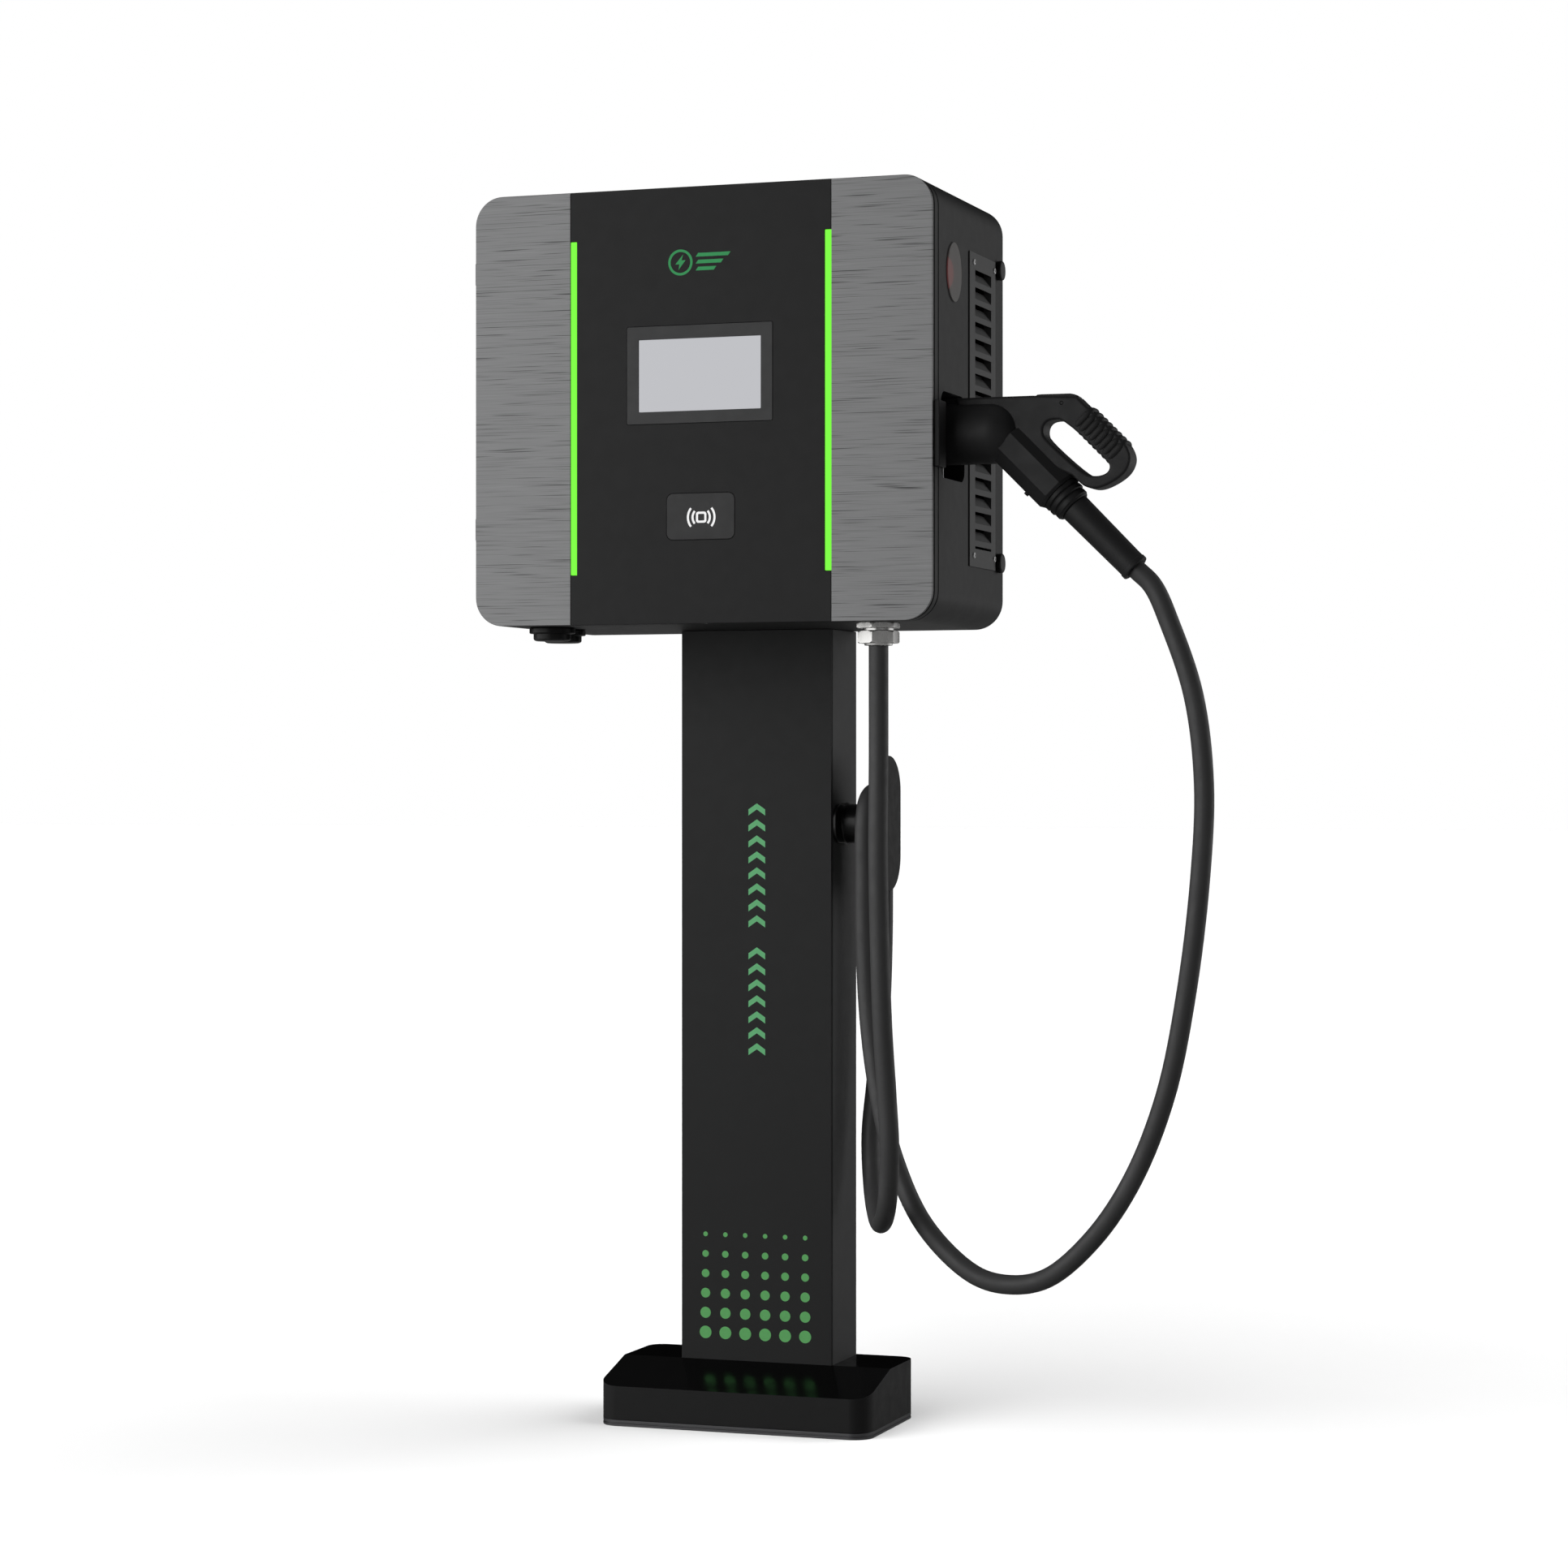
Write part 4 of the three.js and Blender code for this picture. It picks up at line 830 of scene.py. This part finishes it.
def make_stop():
    """The emergency stop behind its smoked lid."""
    x0, x1 = sides("stop_cup")[:2]
    cup = tray("stop_well", stop_oval(3 * MM), x0, x1, 3.6 * MM, 2 * MM, "X")
    bore = slab("bore", oval(*STOP, 8.5 * MM, 8.5 * MM, 32), x0 - 5 * MM, x0 + 8 * MM, 0, "X")
    dress(carve(cup, bore), "plastic", "stop_cup")
    base = sides("stop_button")[0]
    profile = [
        (8, 0), (8, 33.5), (9, 34), (18.4, 36.6), (19.5, 37.6), (20, 39), (20, 44.6), (19.5, 46.4),
        (18.2, 48.2), (16, 49.5), (13, 50.1), (8, 50.2), (4, 50.2),
    ]
    dress(turned("stop_mushroom", mm(profile), (base, *STOP), RIGHT, 64), "red", "stop_button")
    lid = sides("stop_flap")
    flap = slab("stop_lid", stop_oval(count=96), lid[0] + 0.05 * MM, lid[1] - 0.05 * MM, 0.5 * MM, "X")
    pivot = ((lid[0] + lid[1]) / 2, STOP[0], lid[5] - 0.85 * MM)
    pin = turned("pin", mm([(0.7, -6), (0.7, 6)]), pivot, BACK, 20)
    dress(merge("stop_lid", flap, pin), "clear", "stop_flap")


def hexagon_nut(name, centre, z0, z1, r, chamfer):
    """A hexagonal prism of corner radius r, with its corners turned down to a cone at both ends."""
    count = 96
    loops = []
    for z, limit in [
        (z0, r - chamfer * 1.2), (z0 + chamfer * 0.3, r - chamfer * 0.7), (z0 + chamfer, r + 1),
        (z1 - chamfer, r + 1), (z1 - chamfer * 0.3, r - chamfer * 0.7), (z1, r - chamfer * 1.2),
    ]:
        outline = []
        for i in range(count):
            a = 2 * math.pi * i / count
            sector = (a - math.pi / 6) % (math.pi / 3) - math.pi / 6
            radius = min(r * math.cos(math.pi / 6) / math.cos(sector), limit)
            outline.append((centre[0] + radius * math.cos(a), centre[1] + radius * math.sin(a)))
        loops.append((outline, z))
    return shade(loft(name, loops, "Z"), 24)


def make_glands():
    """The nickel-plated outlet gland and the two black supply glands in the cabinet's floor."""
    foot = (*OUT_GLAND, 0)
    under = SHELL[0].z / MM - 0.3
    top = sides("output_gland_body")[5] / MM
    nut = hexagon_nut("gland_body", OUT_GLAND, 973.5 * MM, under * MM, 26.5 * MM, 1.1 * MM)
    ring = turned("ring", mm([(18, 970.35), (18.7, 970.8), (18.7, 973), (18.2, 973.7)]), foot, UP, 64)
    thread = turned("thread", mm([(20, under - 1), (20, top - 1), (19, top)]), foot, UP)
    inner_nut = hexagon_nut("nut", OUT_GLAND, 983.3 * MM, 990 * MM, 27 * MM, 1.1 * MM)
    unite(nut, ring, thread, inner_nut)
    low = sides("output_gland_cap")[4]
    cap = hexagon_nut("gland_cap", OUT_GLAND, low + 2.6 * MM, 970 * MM, 25.5 * MM, 1.6 * MM)
    cone = mm([(16.2, 0), (16.6, 0.4), (16.9, 2), (19, 3.2), (21, 4.4)])
    unite(cap, turned("cone", cone, (*OUT_GLAND, low), UP, 64))
    for part, node in ((nut, "output_gland_body"), (cap, "output_gland_cap")):
        dress(carve(part, turned("bore", mm([(12.3, 940), (12.3, 1010)]), foot, UP)), "nickel", node)
    profile = [
        (12, 0), (19.5, 0), (21, 0.5), (22.6, 1.6), (23, 3), (23, 8.2), (23.8, 8.9), (27.2, 9.1),
        (28, 9.9), (28, 14.8), (27.3, 15.6), (18, 15.7), (18, 29), (17.4, 30),
    ]
    for i, place in enumerate(IN_GLANDS, 1):
        low = sides(f"input_gland_{i}")[4]
        gland = turned(f"supply_gland_{i}", mm(profile), (*place, low), UP, 56)
        inside = hexagon_nut("nut", place, 983.3 * MM, 989 * MM, 24 * MM, 1 * MM)
        dress(unite(gland, inside), "deep", f"input_gland_{i}")


def make_inside():
    """The terminals' screws and the wires between the modules."""
    heads = [pan_screw((x * MM, 0.9 * MM, 1098 * MM), (0, -1, 0), 3 * MM) for x in (-172, -136)]
    dress(merge("terminal_screws", *heads), "nickel", body="root")
    wires = []
    for i, (start, end) in enumerate([(-172, -80), (-136, -40), (6, 95), (46, 110)]):
        low, front = 1040 - 9 * i, 38 - 4 * i
        points = [
            (start, front, 1097), (start, front, 1075), (start, front - 4, low + 16),
            (start * 0.8 + end * 0.2, front - 6, low), ((start + end) / 2, front - 6, low),
            (start * 0.2 + end * 0.8, front - 6, low), (end, front - 4, low + 16),
            (end, front, 1070), (end, front, 1093),
        ]
        wires.append(tube("wire", spline(mm(points), 6), 2.2 * MM, 12))
    dress(merge("inside_wires", *wires), "cable", body="root")


# CAD solids that only get their edges rounded: look, edge width in mm, steps round the edge, nodes
AS_BUILT = [
    ("vent", 0.3, 2, "vent_grille_right vent_grille_left"),
    ("plastic", 0.6, 2, "fan_frame_right fan_frame_left"),
    ("plastic", 0.4, 2, "fan_rotor_right fan_rotor_left"),
    ("plastic", 0.5, 2, "breaker_toggle contactor"),
    ("black", 1.2, 3, "holster_plate"),
    ("bright", 0.4, 2, "holster_bracket"),
    ("grey", 0.3, 2, "hinge_body_half_1 hinge_door_half_1 hinge_body_half_2 hinge_door_half_2"),
    ("zinc", 0.5, 2, "mounting_plate din_rail"),
    ("zinc", 0.4, 2, "anchor_bolt_1 anchor_bolt_2 anchor_bolt_3 anchor_bolt_4"),
    ("aluminium", 0.5, 2, "power_module"),
    ("board", 0.5, 2, "control_board"),
    ("light", 0.5, 2, "breaker_body energy_meter terminal_block"),
    ("nickel", 0.3, 2, "door_lock"),
    ("column_side", 0.8, 3, "column_body"),
    ("column", 0.7, 3, "column_front_cover"),
    ("deep", 0.8, 3, "latch_lever"),
]
for look, width, segments, nodes in AS_BUILT:
    for node in nodes.split():
        dress(refined(node, width * MM, segments), look, node)

make_housing()
make_vent_screws()
make_knobs()
make_holster()
make_stop()
make_glands()
make_inside()


# ---- the door ----
LED_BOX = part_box("led_strip_right")
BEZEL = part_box("display_bezel")
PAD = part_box("card_reader_pad")


def face_outline(box, r, grow=0.0, count=10):
    """A CAD box seen from the front, with round corners."""
    lo, hi = box
    return round_rect(lo.x - grow, hi.x + grow, lo.z - grow, hi.z + grow, r + grow, count=count)


def pad_outline(grow=0.0):
    return face_outline(PAD, 8 * MM, grow)


def bezel_outline(grow=0.0):
    return face_outline(BEZEL, 2 * MM, grow, 5)


def make_door_tray():
    """The folded tray behind the front panels, with its lip and the rubber seal behind it."""
    rear, front = TRAY[1].y, TRAY[0].y
    steps = [(i, rear - d) for i, d in round_steps(1 * MM, 3)]
    lip = front + 4 * MM
    steps += [(0, lip + 0.6 * MM), (0.6 * MM, lip), (2.5 * MM, lip), (2.5 * MM, front)]
    steps += [(14 * MM, front), (14 * MM, rear - 3 * MM)]
    loops = [(cabinet_outline(step), y) for step, y in steps]
    door = shade(loft("door_shell", loops, "Y"))
    lock = turned("bore", mm([(8.4, 970), (8.4, 1012)]), (0, -190 * MM, 0), UP, 40)
    cam = block("cam", (-28 * MM, rear - 4 * MM, 1001 * MM), (10 * MM, rear + 1 * MM, 1010 * MM))
    dress(carve(door, lock, cam), "grey", "door_tray")
    y0, y1 = sides("door_gasket")[2:4]
    seal = frame_ring("door_seal", cabinet_outline(4 * MM), cabinet_outline(12 * MM), y0, y1, 0.9 * MM, "Y")
    dress(seal, "rubber", "door_gasket")


def side_panel_outline(way):
    """A brushed panel: round outer corners and a straight inner edge."""
    inner = way * (PANEL[1].x + GAP)
    low, high = (inner, SHELL[0].z), (inner, SHELL[1].z)
    return [(u, v) for u, v in cabinet_outline() if u * way > 0] + ([high, low] if way > 0 else [low, high])


def make_front():
    back = FRONT + SKIN
    for way, side_name in ((1, "right"), (-1, "left")):
        panel = slab(f"brushed_panel_{side_name}", side_panel_outline(way), FRONT, back, 0.7 * MM, "Y")
        dress(panel, "brushed", f"front_panel_{side_name}")
    edge, notch = PANEL[1].x, LED_BOX[0].x - GAP
    bottom, top = PANEL[0].z, PANEL[1].z
    low, high = LED_BOX[0].z - GAP, LED_BOX[1].z + GAP
    right = [(edge, bottom), (edge, low), (notch, low), (notch, high), (edge, high), (edge, top)]
    outline = right + [(-u, v) for u, v in reversed(right)]
    holes = [bezel_outline(GAP), pad_outline(GAP)]
    dress(slab("centre_panel", outline, FRONT, back, 0.5 * MM, "Y", holes), "black", "front_panel_centre")
    for side_name in ("left", "right"):
        lo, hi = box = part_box(f"led_strip_{side_name}")
        strip = slab(f"light_bar_{side_name}", face_outline(box, 1 * MM, count=4), lo.y, hi.y, 0.8 * MM, "Y")
        dress(strip, "led", f"led_strip_{side_name}")


def make_display():
    lo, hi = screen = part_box("display_screen")
    opening = face_outline(screen, 0.5 * MM, GAP, 5)
    rim = frame_ring("display_frame", bezel_outline(), opening, BEZEL[0].y, BEZEL[1].y, 0.6 * MM, "Y")
    dress(rim, "bezel", "display_bezel")
    glass = slab("display_glass", face_outline(screen, 0.6 * MM, count=4), lo.y, hi.y, 0.25 * MM, "Y")
    dress(glass, "screen", "display_screen")


PRINT = 0.1 * MM  # how proud the printed marks stand


def mark(outline, face, holes=()):
    """A printed shape on a face that looks to the front."""
    return slab("mark", outline, face - PRINT, face + 0.2 * MM, 0, "Y", holes)


def make_pad():
    face, rear = PAD[0].y + PRINT, PAD[1].y
    dress(slab("card_pad", pad_outline(), face, rear, 0.8 * MM, "Y"), "pad", "card_reader_pad")
    cx, cz = 2.5 * MM, 1106.1 * MM
    r, stroke = 6.6 * MM, 2.6 * MM
    hole = r - stroke
    ring_in = round_rect(cx - hole, cx + hole, cz - hole, cz + hole, 1.2 * MM)
    marks = [mark(round_rect(cx - r, cx + r, cz - r, cz + r, 3 * MM), face, [ring_in])]
    for radius, spread in ((12.3 * MM, 42), (18.2 * MM, 40)):
        for middle in (0, 180):
            outer = arc(cx, cz, radius, middle - spread, middle + spread, 14)
            inner = arc(cx, cz, radius - stroke, middle + spread, middle - spread, 14)
            marks.append(mark(outer + inner, face))
    dress(merge("card_icon", *marks), "white", body="door")


def make_emblem():
    """A plain mark on the centre panel: a bolt in a ring beside three short bars."""
    cx, cz = -24 * MM, 1410 * MM
    outer, inner = (oval(cx, cz, r * MM, r * MM) for r in (15.5, 12.5))
    bolt = [(-26.5, -9), (-17.5, 2.5), (-22.5, 2.5), (-20.5, 9.5), (-30.5, -2.2), (-25.3, -2.2)]
    marks = [mark(outer, FRONT, [inner]), mark([(x * MM, cz + z * MM) for x, z in bolt], FRONT)]
    start, slant, half = -3 * MM, 1.6 * MM, 2.2 * MM
    for i, length in enumerate((41, 32, 23)):
        low, high = (cz + (8.2 - 8.2 * i) * MM + way * half for way in (-1, 1))
        end = start + length * MM
        bar = [(start - slant, low), (end - slant, low), (end + slant, high), (start + slant, high)]
        marks.append(mark(bar, FRONT))
    dress(merge("emblem", *marks), "mark", body="door")


make_door_tray()
make_front()
make_display()
make_pad()
make_emblem()


# ---- the column and the foot ----
ANCHORS = [(x * MM, y * MM) for x in (-140, 140) for y in (-62, 62)]
PLATEAU = 74 * MM
LIP = 46.4 * MM
FRONT_R = 25 * MM
REAR_R = 20 * MM
DEEP = 0.01  # how far a cutter reaches past what it cuts


def foot_outline(step=0.0):
    lo, hi = FOOT
    return round_rect(lo.x + step, hi.x - step, lo.y + step, hi.y - step, FRONT_R - step, REAR_R - step, 12)


def make_plate():
    """The foot's steel plate, with a shadow groove round its edge."""
    top = FOOT[1].z / MM
    levels = [(0.5, 0), (0, 0.5), (0, 3.1), (0.9, 3.5), (0.9, 4.5), (0, 4.9), (0, top - 0.5), (0.5, top)]
    plate = loft("foot_plate", [(foot_outline(step), z) for step, z in mm(levels)], "Z")
    for outline in [oval(x, y, 7 * MM, 7 * MM, 32) for x, y in ANCHORS] + [entry_outline()]:
        carve(plate, slab("hole", outline, -DEEP, 2 * DEEP, 0, "Z"))
    dress(plate, "base_steel", "base_plate")


def make_foot_cover():
    """The hollow cover: a lip, a slope up to the column, and a flat top with the column's hole."""
    wall, high = 3 * MM, 0.1
    x = FOOT[1].x + DEEP
    front, rear = FOOT[0].y - DEEP, FOOT[1].y + DEEP
    bodies = []
    for name, step, low in (("foot_cover", 0, sides("base_cover")[4]), ("hollow", wall, -DEEP)):
        body = slab(name, foot_outline(step), low, high, 0, "Z")
        top, lip = PLATEAU - step, LIP - step
        profile = [(front, -DEEP), (rear, -DEEP), (rear, top), (COLUMN_FRONT, top), (front, lip)]
        combine(body, "INTERSECT", [slab("profile", profile, -x, x, 0, "X")])
        bodies.append(body)
    cover, hollow = bodies
    bevel(cover, 1.1 * MM, 3, 14)
    lo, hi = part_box("column_body")
    gap = 0.6 * MM
    hole = block("hole", (lo.x - gap, COLUMN_FRONT - gap, 0.03), (hi.x + gap, hi.y + gap, high))
    dress(shade(carve(cover, hollow, hole), 20), "gloss", "base_cover")


def make_prints():
    """Six rows of dots that grow towards the foot, and a line of arrows up the column."""
    dots = []
    for row, radius in enumerate((7.8, 6.9, 6.1, 5.1, 4.3, 3)):
        for column in range(6):
            x, z = (-66.7 + 26.2 * column) * MM, (107.3 + 24.4 * row) * MM
            dots.append(mark(oval(x, z, radius * MM, radius * MM, 36), COLUMN_FRONT))
    dress(merge("column_dots", *dots), "green", body="root")
    arrows = []
    x0, x1, bottom, top = -10 * MM, 12 * MM, 453 * MM, 765 * MM
    middle = (x0 + x1) / 2
    count, gap_after, rise, thick = 15, 7, 7.5 * MM, 7.5 * MM
    pitch = (top - bottom - rise - thick) / count
    for i in range(count):
        z = bottom + (i + (i >= gap_after)) * pitch
        upper = z + thick
        chevron = [(x0, z), (middle, z + rise), (x1, z), (x1, upper), (middle, upper + rise), (x0, upper)]
        arrows.append(mark(chevron, COLUMN_FRONT))
    dress(merge("column_arrows", *arrows), "arrow", body="root")


def make_hook():
    """The cable hook: a flange, a drum and an oval end plate."""
    x0, x1, y0, y1, z0, z1 = sides("cable_hook")
    cy, cz = (y0 + y1) / 2, (z0 + z1) / 2
    flange = round_rect(cy - 46 * MM, cy + 46 * MM, cz - 24 * MM, cz + 24 * MM, 20 * MM)
    base = slab("hook", flange, x0, x0 + 4 * MM, 1 * MM, "X")
    profile = [(26, 3), (24.6, 4.6), (24, 7), (24, 48), (24.6, 50.6), (26, 52.4), (26, 54)]
    drum = turned("drum", mm(profile), (x0, cy, cz), RIGHT, 72)
    plate = round_rect(cy - 50 * MM, cy + 50 * MM, cz - 84 * MM, cz + 84 * MM, 44 * MM, count=18)
    end = slab("hook_plate", plate, x1 - 5 * MM, x1, 1.8 * MM, "X")
    dress(unite(base, drum), "satin", "cable_hook")
    dress(end, "hook", body="root")


make_plate()
make_foot_cover()
make_prints()
make_hook()


# ---- the connector ----
HANDLE_BACK = mm([
    (446, 1240.5), (465, 1221.9), (492.8, 1195.9), (506, 1181), (510.3, 1166.5),
    (504.5, 1152), (489, 1140), (469, 1133), (455, 1136), (440, 1149),
])
FINGER_HOLE = mm([
    (404.5, 1202.5), (407.5, 1211), (415, 1215), (430.5, 1214.5), (483.5, 1163.5), (485.5, 1156),
    (480.5, 1149.5), (468, 1146.8), (454.5, 1150), (407, 1192.5),
])
GRIP_START = Vector((450.5, 0, 1217.5)) * MM
GRIP_END = Vector((495, 0, 1173)) * MM
BOXY = 0.62  # below 1, an oval section turns into a rounded box
BUTTON_PIVOT = (427.6 * MM, 1233.8 * MM)


def make_grip():
    """The ribbed rubber sleeve over the handle's back."""
    axis = (GRIP_END - GRIP_START).normalized()
    across = Vector((axis.z, 0, -axis.x))
    length = (GRIP_END - GRIP_START).length
    ribs, per, count = 8, 10, 48
    verts = []
    rings = ribs * per + 1
    for ring in range(rings):
        along = ring / (rings - 1)
        end_taper = min(1, (1 - abs(2 * along - 1)) * 9 + 0.55)
        groove = abs(math.sin(math.pi * ribs * along)) ** 0.55
        middle = GRIP_START + axis * (along * length)
        for k in range(count):
            a = 2 * math.pi * k / count
            side_weight = 0.4 + 0.6 * abs(math.cos(a))
            swell = (2.6 * MM * groove - 1.6 * MM) * side_weight * end_taper
            in_plane = (16.4 * MM + swell) * math.copysign(abs(math.cos(a)) ** BOXY, math.cos(a))
            off_plane = (18.4 * MM + swell * 1.4) * math.copysign(abs(math.sin(a)) ** BOXY, math.sin(a))
            verts.append(middle + across * in_plane + Vector((0, GUN_Y + off_plane, 0)))
    return dress(shade(piece("grip_sleeve", verts, skin(rings, count)), 50), "grip", body="connector")


def make_connector():
    """The connector's moulded shell: barrel and dome, slanted cable entry and loop handle."""
    mouth, dome, r = 272, 340, 36.7
    profile = [(32, mouth), (36, mouth), (r, mouth + 0.8), (r, mouth + 5)]
    profile += [(36.2, mouth + 5.5), (36.2, mouth + 6.3), (r, mouth + 6.8)]
    for i in range(13):
        angle = math.radians(6.5 * i)
        profile.append((r * math.cos(angle), dome + r * math.sin(angle)))
    shell = turned("connector_body", mm(profile), (0, GUN_Y, GUN_Z), RIGHT, 96)
    top = 1243.7
    outline = mm([(360, 1200), (405, 1165)]) + [tuple(p) for p in reversed(spline(HANDLE_BACK, 6))]
    outline += mm([(392, top), (300, top), (300, 1225)])
    hole = chaikin(list(reversed(FINGER_HOLE)), 2)
    handle = slab("handle", outline, GUN_Y - 17 * MM, GUN_Y + 17 * MM, 3.2 * MM, "Y", [hole])
    entry = [(27, -88), (29.2, -86), (29.2, -3.4), (28.4, -2.2), (26, 0)]
    slant = turned("entry", mm(entry), GUN_END, SLANT, 8, 20, math.pi / 8)
    y = GUN_Y / MM
    ridge = block("ridge", *mm([(278, y - 12, 1223), (330, y + 12, 1243.3)]), 1.5 * MM)
    below = -SLANT.cross(Vector((0, -1, 0)))
    nub = turned("nub", mm([(3, -3), (3, 3.2), (2.4, 4.2)]), (382 * MM, GUN_Y, 1131 * MM), below, 24)
    unite(shell, handle, slant, ridge, nub)
    latch_slot = block("latch_slot", *mm([(271, y - 6.6, 1228.5), (392.5, y + 6.6, 1260)]))
    button_slot = block("slot", *mm([(392.4, y - 9.6, 1228), (447.5, y + 9.6, 1260)]))
    pin = (BUTTON_PIVOT[0], GUN_Y - 30 * MM, BUTTON_PIVOT[1])
    pin_hole = turned("pin_hole", mm([(2.4, 0), (2.4, 60)]), pin, BACK, 24)
    bore = turned("bore", mm([(31, -1), (31, 12)]), (mouth * MM, GUN_Y, GUN_Z), RIGHT, 64)
    carve(shell, latch_slot, button_slot, pin_hole, bore)
    return dress(shade(shell, 26), "gun", "connector_shell")


PIN_PLACES = [(0, 14, 6), (-15, 4, 7.5), (15, 4, 7.5), (-9, -14, 4), (9, -14, 4), (0, -4, 3)]


def make_nose():
    """The plug face, with a sleeved contact in each of its bores."""
    x0, x1 = sides("connector_nose")[:2]
    depth = 34 * MM
    outline = oval(GUN_Y, GUN_Z, 30 * MM, 30 * MM, 72)
    holes, contacts = [], []
    for y, z, r in PIN_PLACES:
        centre = (GUN_Y + y * MM, GUN_Z + z * MM)
        holes.append(oval(*centre, r * MM, r * MM, 28))
        contact = [(r * 0.62, 26), (r * 0.62, 0.6), (r * 0.55, 0), (r * 0.4, 0), (r * 0.38, 3)]
        contacts.append(turned("contact", mm(contact), (x0 + 8 * MM, *centre), RIGHT, 28))
    dress(merge("plug_contacts", *contacts), "copper", body="connector")
    face = slab("plug_nose", outline, x0, x0 + depth, 0.8 * MM, "X", holes)
    rear = slab("rear", outline, x0 + depth, x1, 0, "X")
    return dress(merge("plug_nose", face, rear), "deep", "connector_nose")


def make_button():
    """The thumb button on its pin."""
    outline = mm([
        (393.6, 1235.5), (446, 1235.5), (446, 1241.2), (441, 1244.3), (436, 1245.4), (401, 1245.6),
        (396, 1245.3), (393.6, 1243.6),
    ])
    button = slab("thumb_pad", outline, GUN_Y - 9 * MM, GUN_Y + 9 * MM, 1.2 * MM, "Y")
    pin = (BUTTON_PIVOT[0], GUN_Y - 16.6 * MM, BUTTON_PIVOT[1])
    rod = turned("pin", mm([(1.7, 0), (2.1, 0.4), (2.1, 32.8), (1.7, 33.2)]), pin, BACK, 24)
    return dress(merge("thumb_pad", button, rod), "deep", "thumb_button")


ON_CABLE += [make_connector(), make_grip(), make_nose(), make_button()]
ON_CABLE += [bpy.data.objects[name] for name in ("latch_lever_piece", "gland_cap")]


# ---- floor, backdrop and lights ----
def make_floor():
    half = 60
    corners = [(-half, -half, 0), (half, -half, 0), (half, half, 0), (-half, half, 0)]
    floor = piece("floor", corners, [(0, 1, 2, 3)])
    s = Surface("floor_white", (0.8, 0.8, 0.8), 0.9, specular=0.0)
    near = s.blended(s.noise(3, 2), (0.79, 0.79, 0.79, 1), (0.81, 0.81, 0.81, 1))
    reach = s.node("ShaderNodeVectorMath", {0: s.place}, operation="LENGTH").outputs["Value"]
    # painted shade: the floor is darker (0.8) near the post and paler (0.9) from about 4 m out, to cancel
    # the extra light the near soft boxes throw on it
    s.paint(s.blended(s.remap(reach, 1.2, 4), near, (0.9, 0.9, 0.9, 1)))
    mirrored = s.node("ShaderNodeLightPath").outputs["Is Glossy Ray"]
    dim = s.node("ShaderNodeMixShader", {0: s.times(mirrored, 0.8), 1: s.shader.outputs[0]})
    s.tree.links.new(dim.outputs[0], s.tree.nodes["Material Output"].inputs["Surface"])
    floor.data.materials.append(s.material)
    floor.visible_diffuse = False
    floor.visible_transmission = False
    return floor


def make_world():
    """White behind the object, and a dim room all round it for light and reflections."""
    world = bpy.data.worlds.new("studio")
    world.use_nodes = True
    bpy.context.scene.world = world
    nodes, links = world.node_tree.nodes, world.node_tree.links
    path, place, split, ramp, mix = map(nodes.new, (
        "ShaderNodeLightPath", "ShaderNodeTexCoord", "ShaderNodeSeparateXYZ", "ShaderNodeValToRGB",
        "ShaderNodeMix",
    ))
    mix.data_type = "RGBA"
    mix.inputs["B"].default_value = (1, 1, 1, 1)
    for element, place_up, level in zip(ramp.color_ramp.elements, (0.45, 0.95), (0.004, 0.11)):
        element.position = place_up
        element.color = (level, level, level, 1)
    links.new(place.outputs["Generated"], split.inputs[0])
    links.new(split.outputs["Z"], ramp.inputs["Fac"])
    links.new(ramp.outputs["Color"], mix.inputs["A"])
    links.new(path.outputs["Is Camera Ray"], mix.inputs["Factor"])
    links.new(mix.outputs["Result"], nodes["Background"].inputs["Color"])


def aim(obj, place, target):
    obj.location = place
    obj.rotation_euler = (Vector(target) - Vector(place)).to_track_quat("-Z", "Y").to_euler()


def around(degrees, distance, height):
    """A place round the post, with the angle counted from +X."""
    angle = math.radians(degrees)
    return distance * math.cos(angle), distance * math.sin(angle), height


def light(name, kind, place, target, power):
    data = bpy.data.lights.new(name, kind)
    data.energy = power
    lamp = added(name, data)
    aim(lamp, place, target)
    return lamp


MIDDLE = (0.05, -0.05, 0.95)  # of the post with its cable


def soft_box(name, place, width, height, power):
    data = light(name, "AREA", place, MIDDLE, power).data
    data.shape = "RECTANGLE"
    data.size, data.size_y = width, height


def make_lights(floor):
    """Soft boxes at the left, right and front, and two wide suns for the floor alone."""
    soft_box("key_left", around(-135, 4.6, 1.6), 8, 4.4, 170)
    soft_box("key_right", around(36, 4.6, 1.6), 5, 4.4, 62)
    soft_box("front", around(-45, 5, 1.4), 4, 3.6, 6)
    lit = bpy.data.collections.new("floor_only")
    lit.objects.link(floor)
    for side_name, degrees in (("left", 243), ("right", 17)):
        sun = light(f"floor_sun_{side_name}", "SUN", around(degrees, 1, 1), (0, 0, 0), 2.5)
        sun.data.angle = math.radians(62)
        sun.light_linking.receiver_collection = lit


make_world()
make_lights(make_floor())
scene = bpy.context.scene
scene.view_settings.view_transform = "Standard"
scene.view_settings.look = "None"
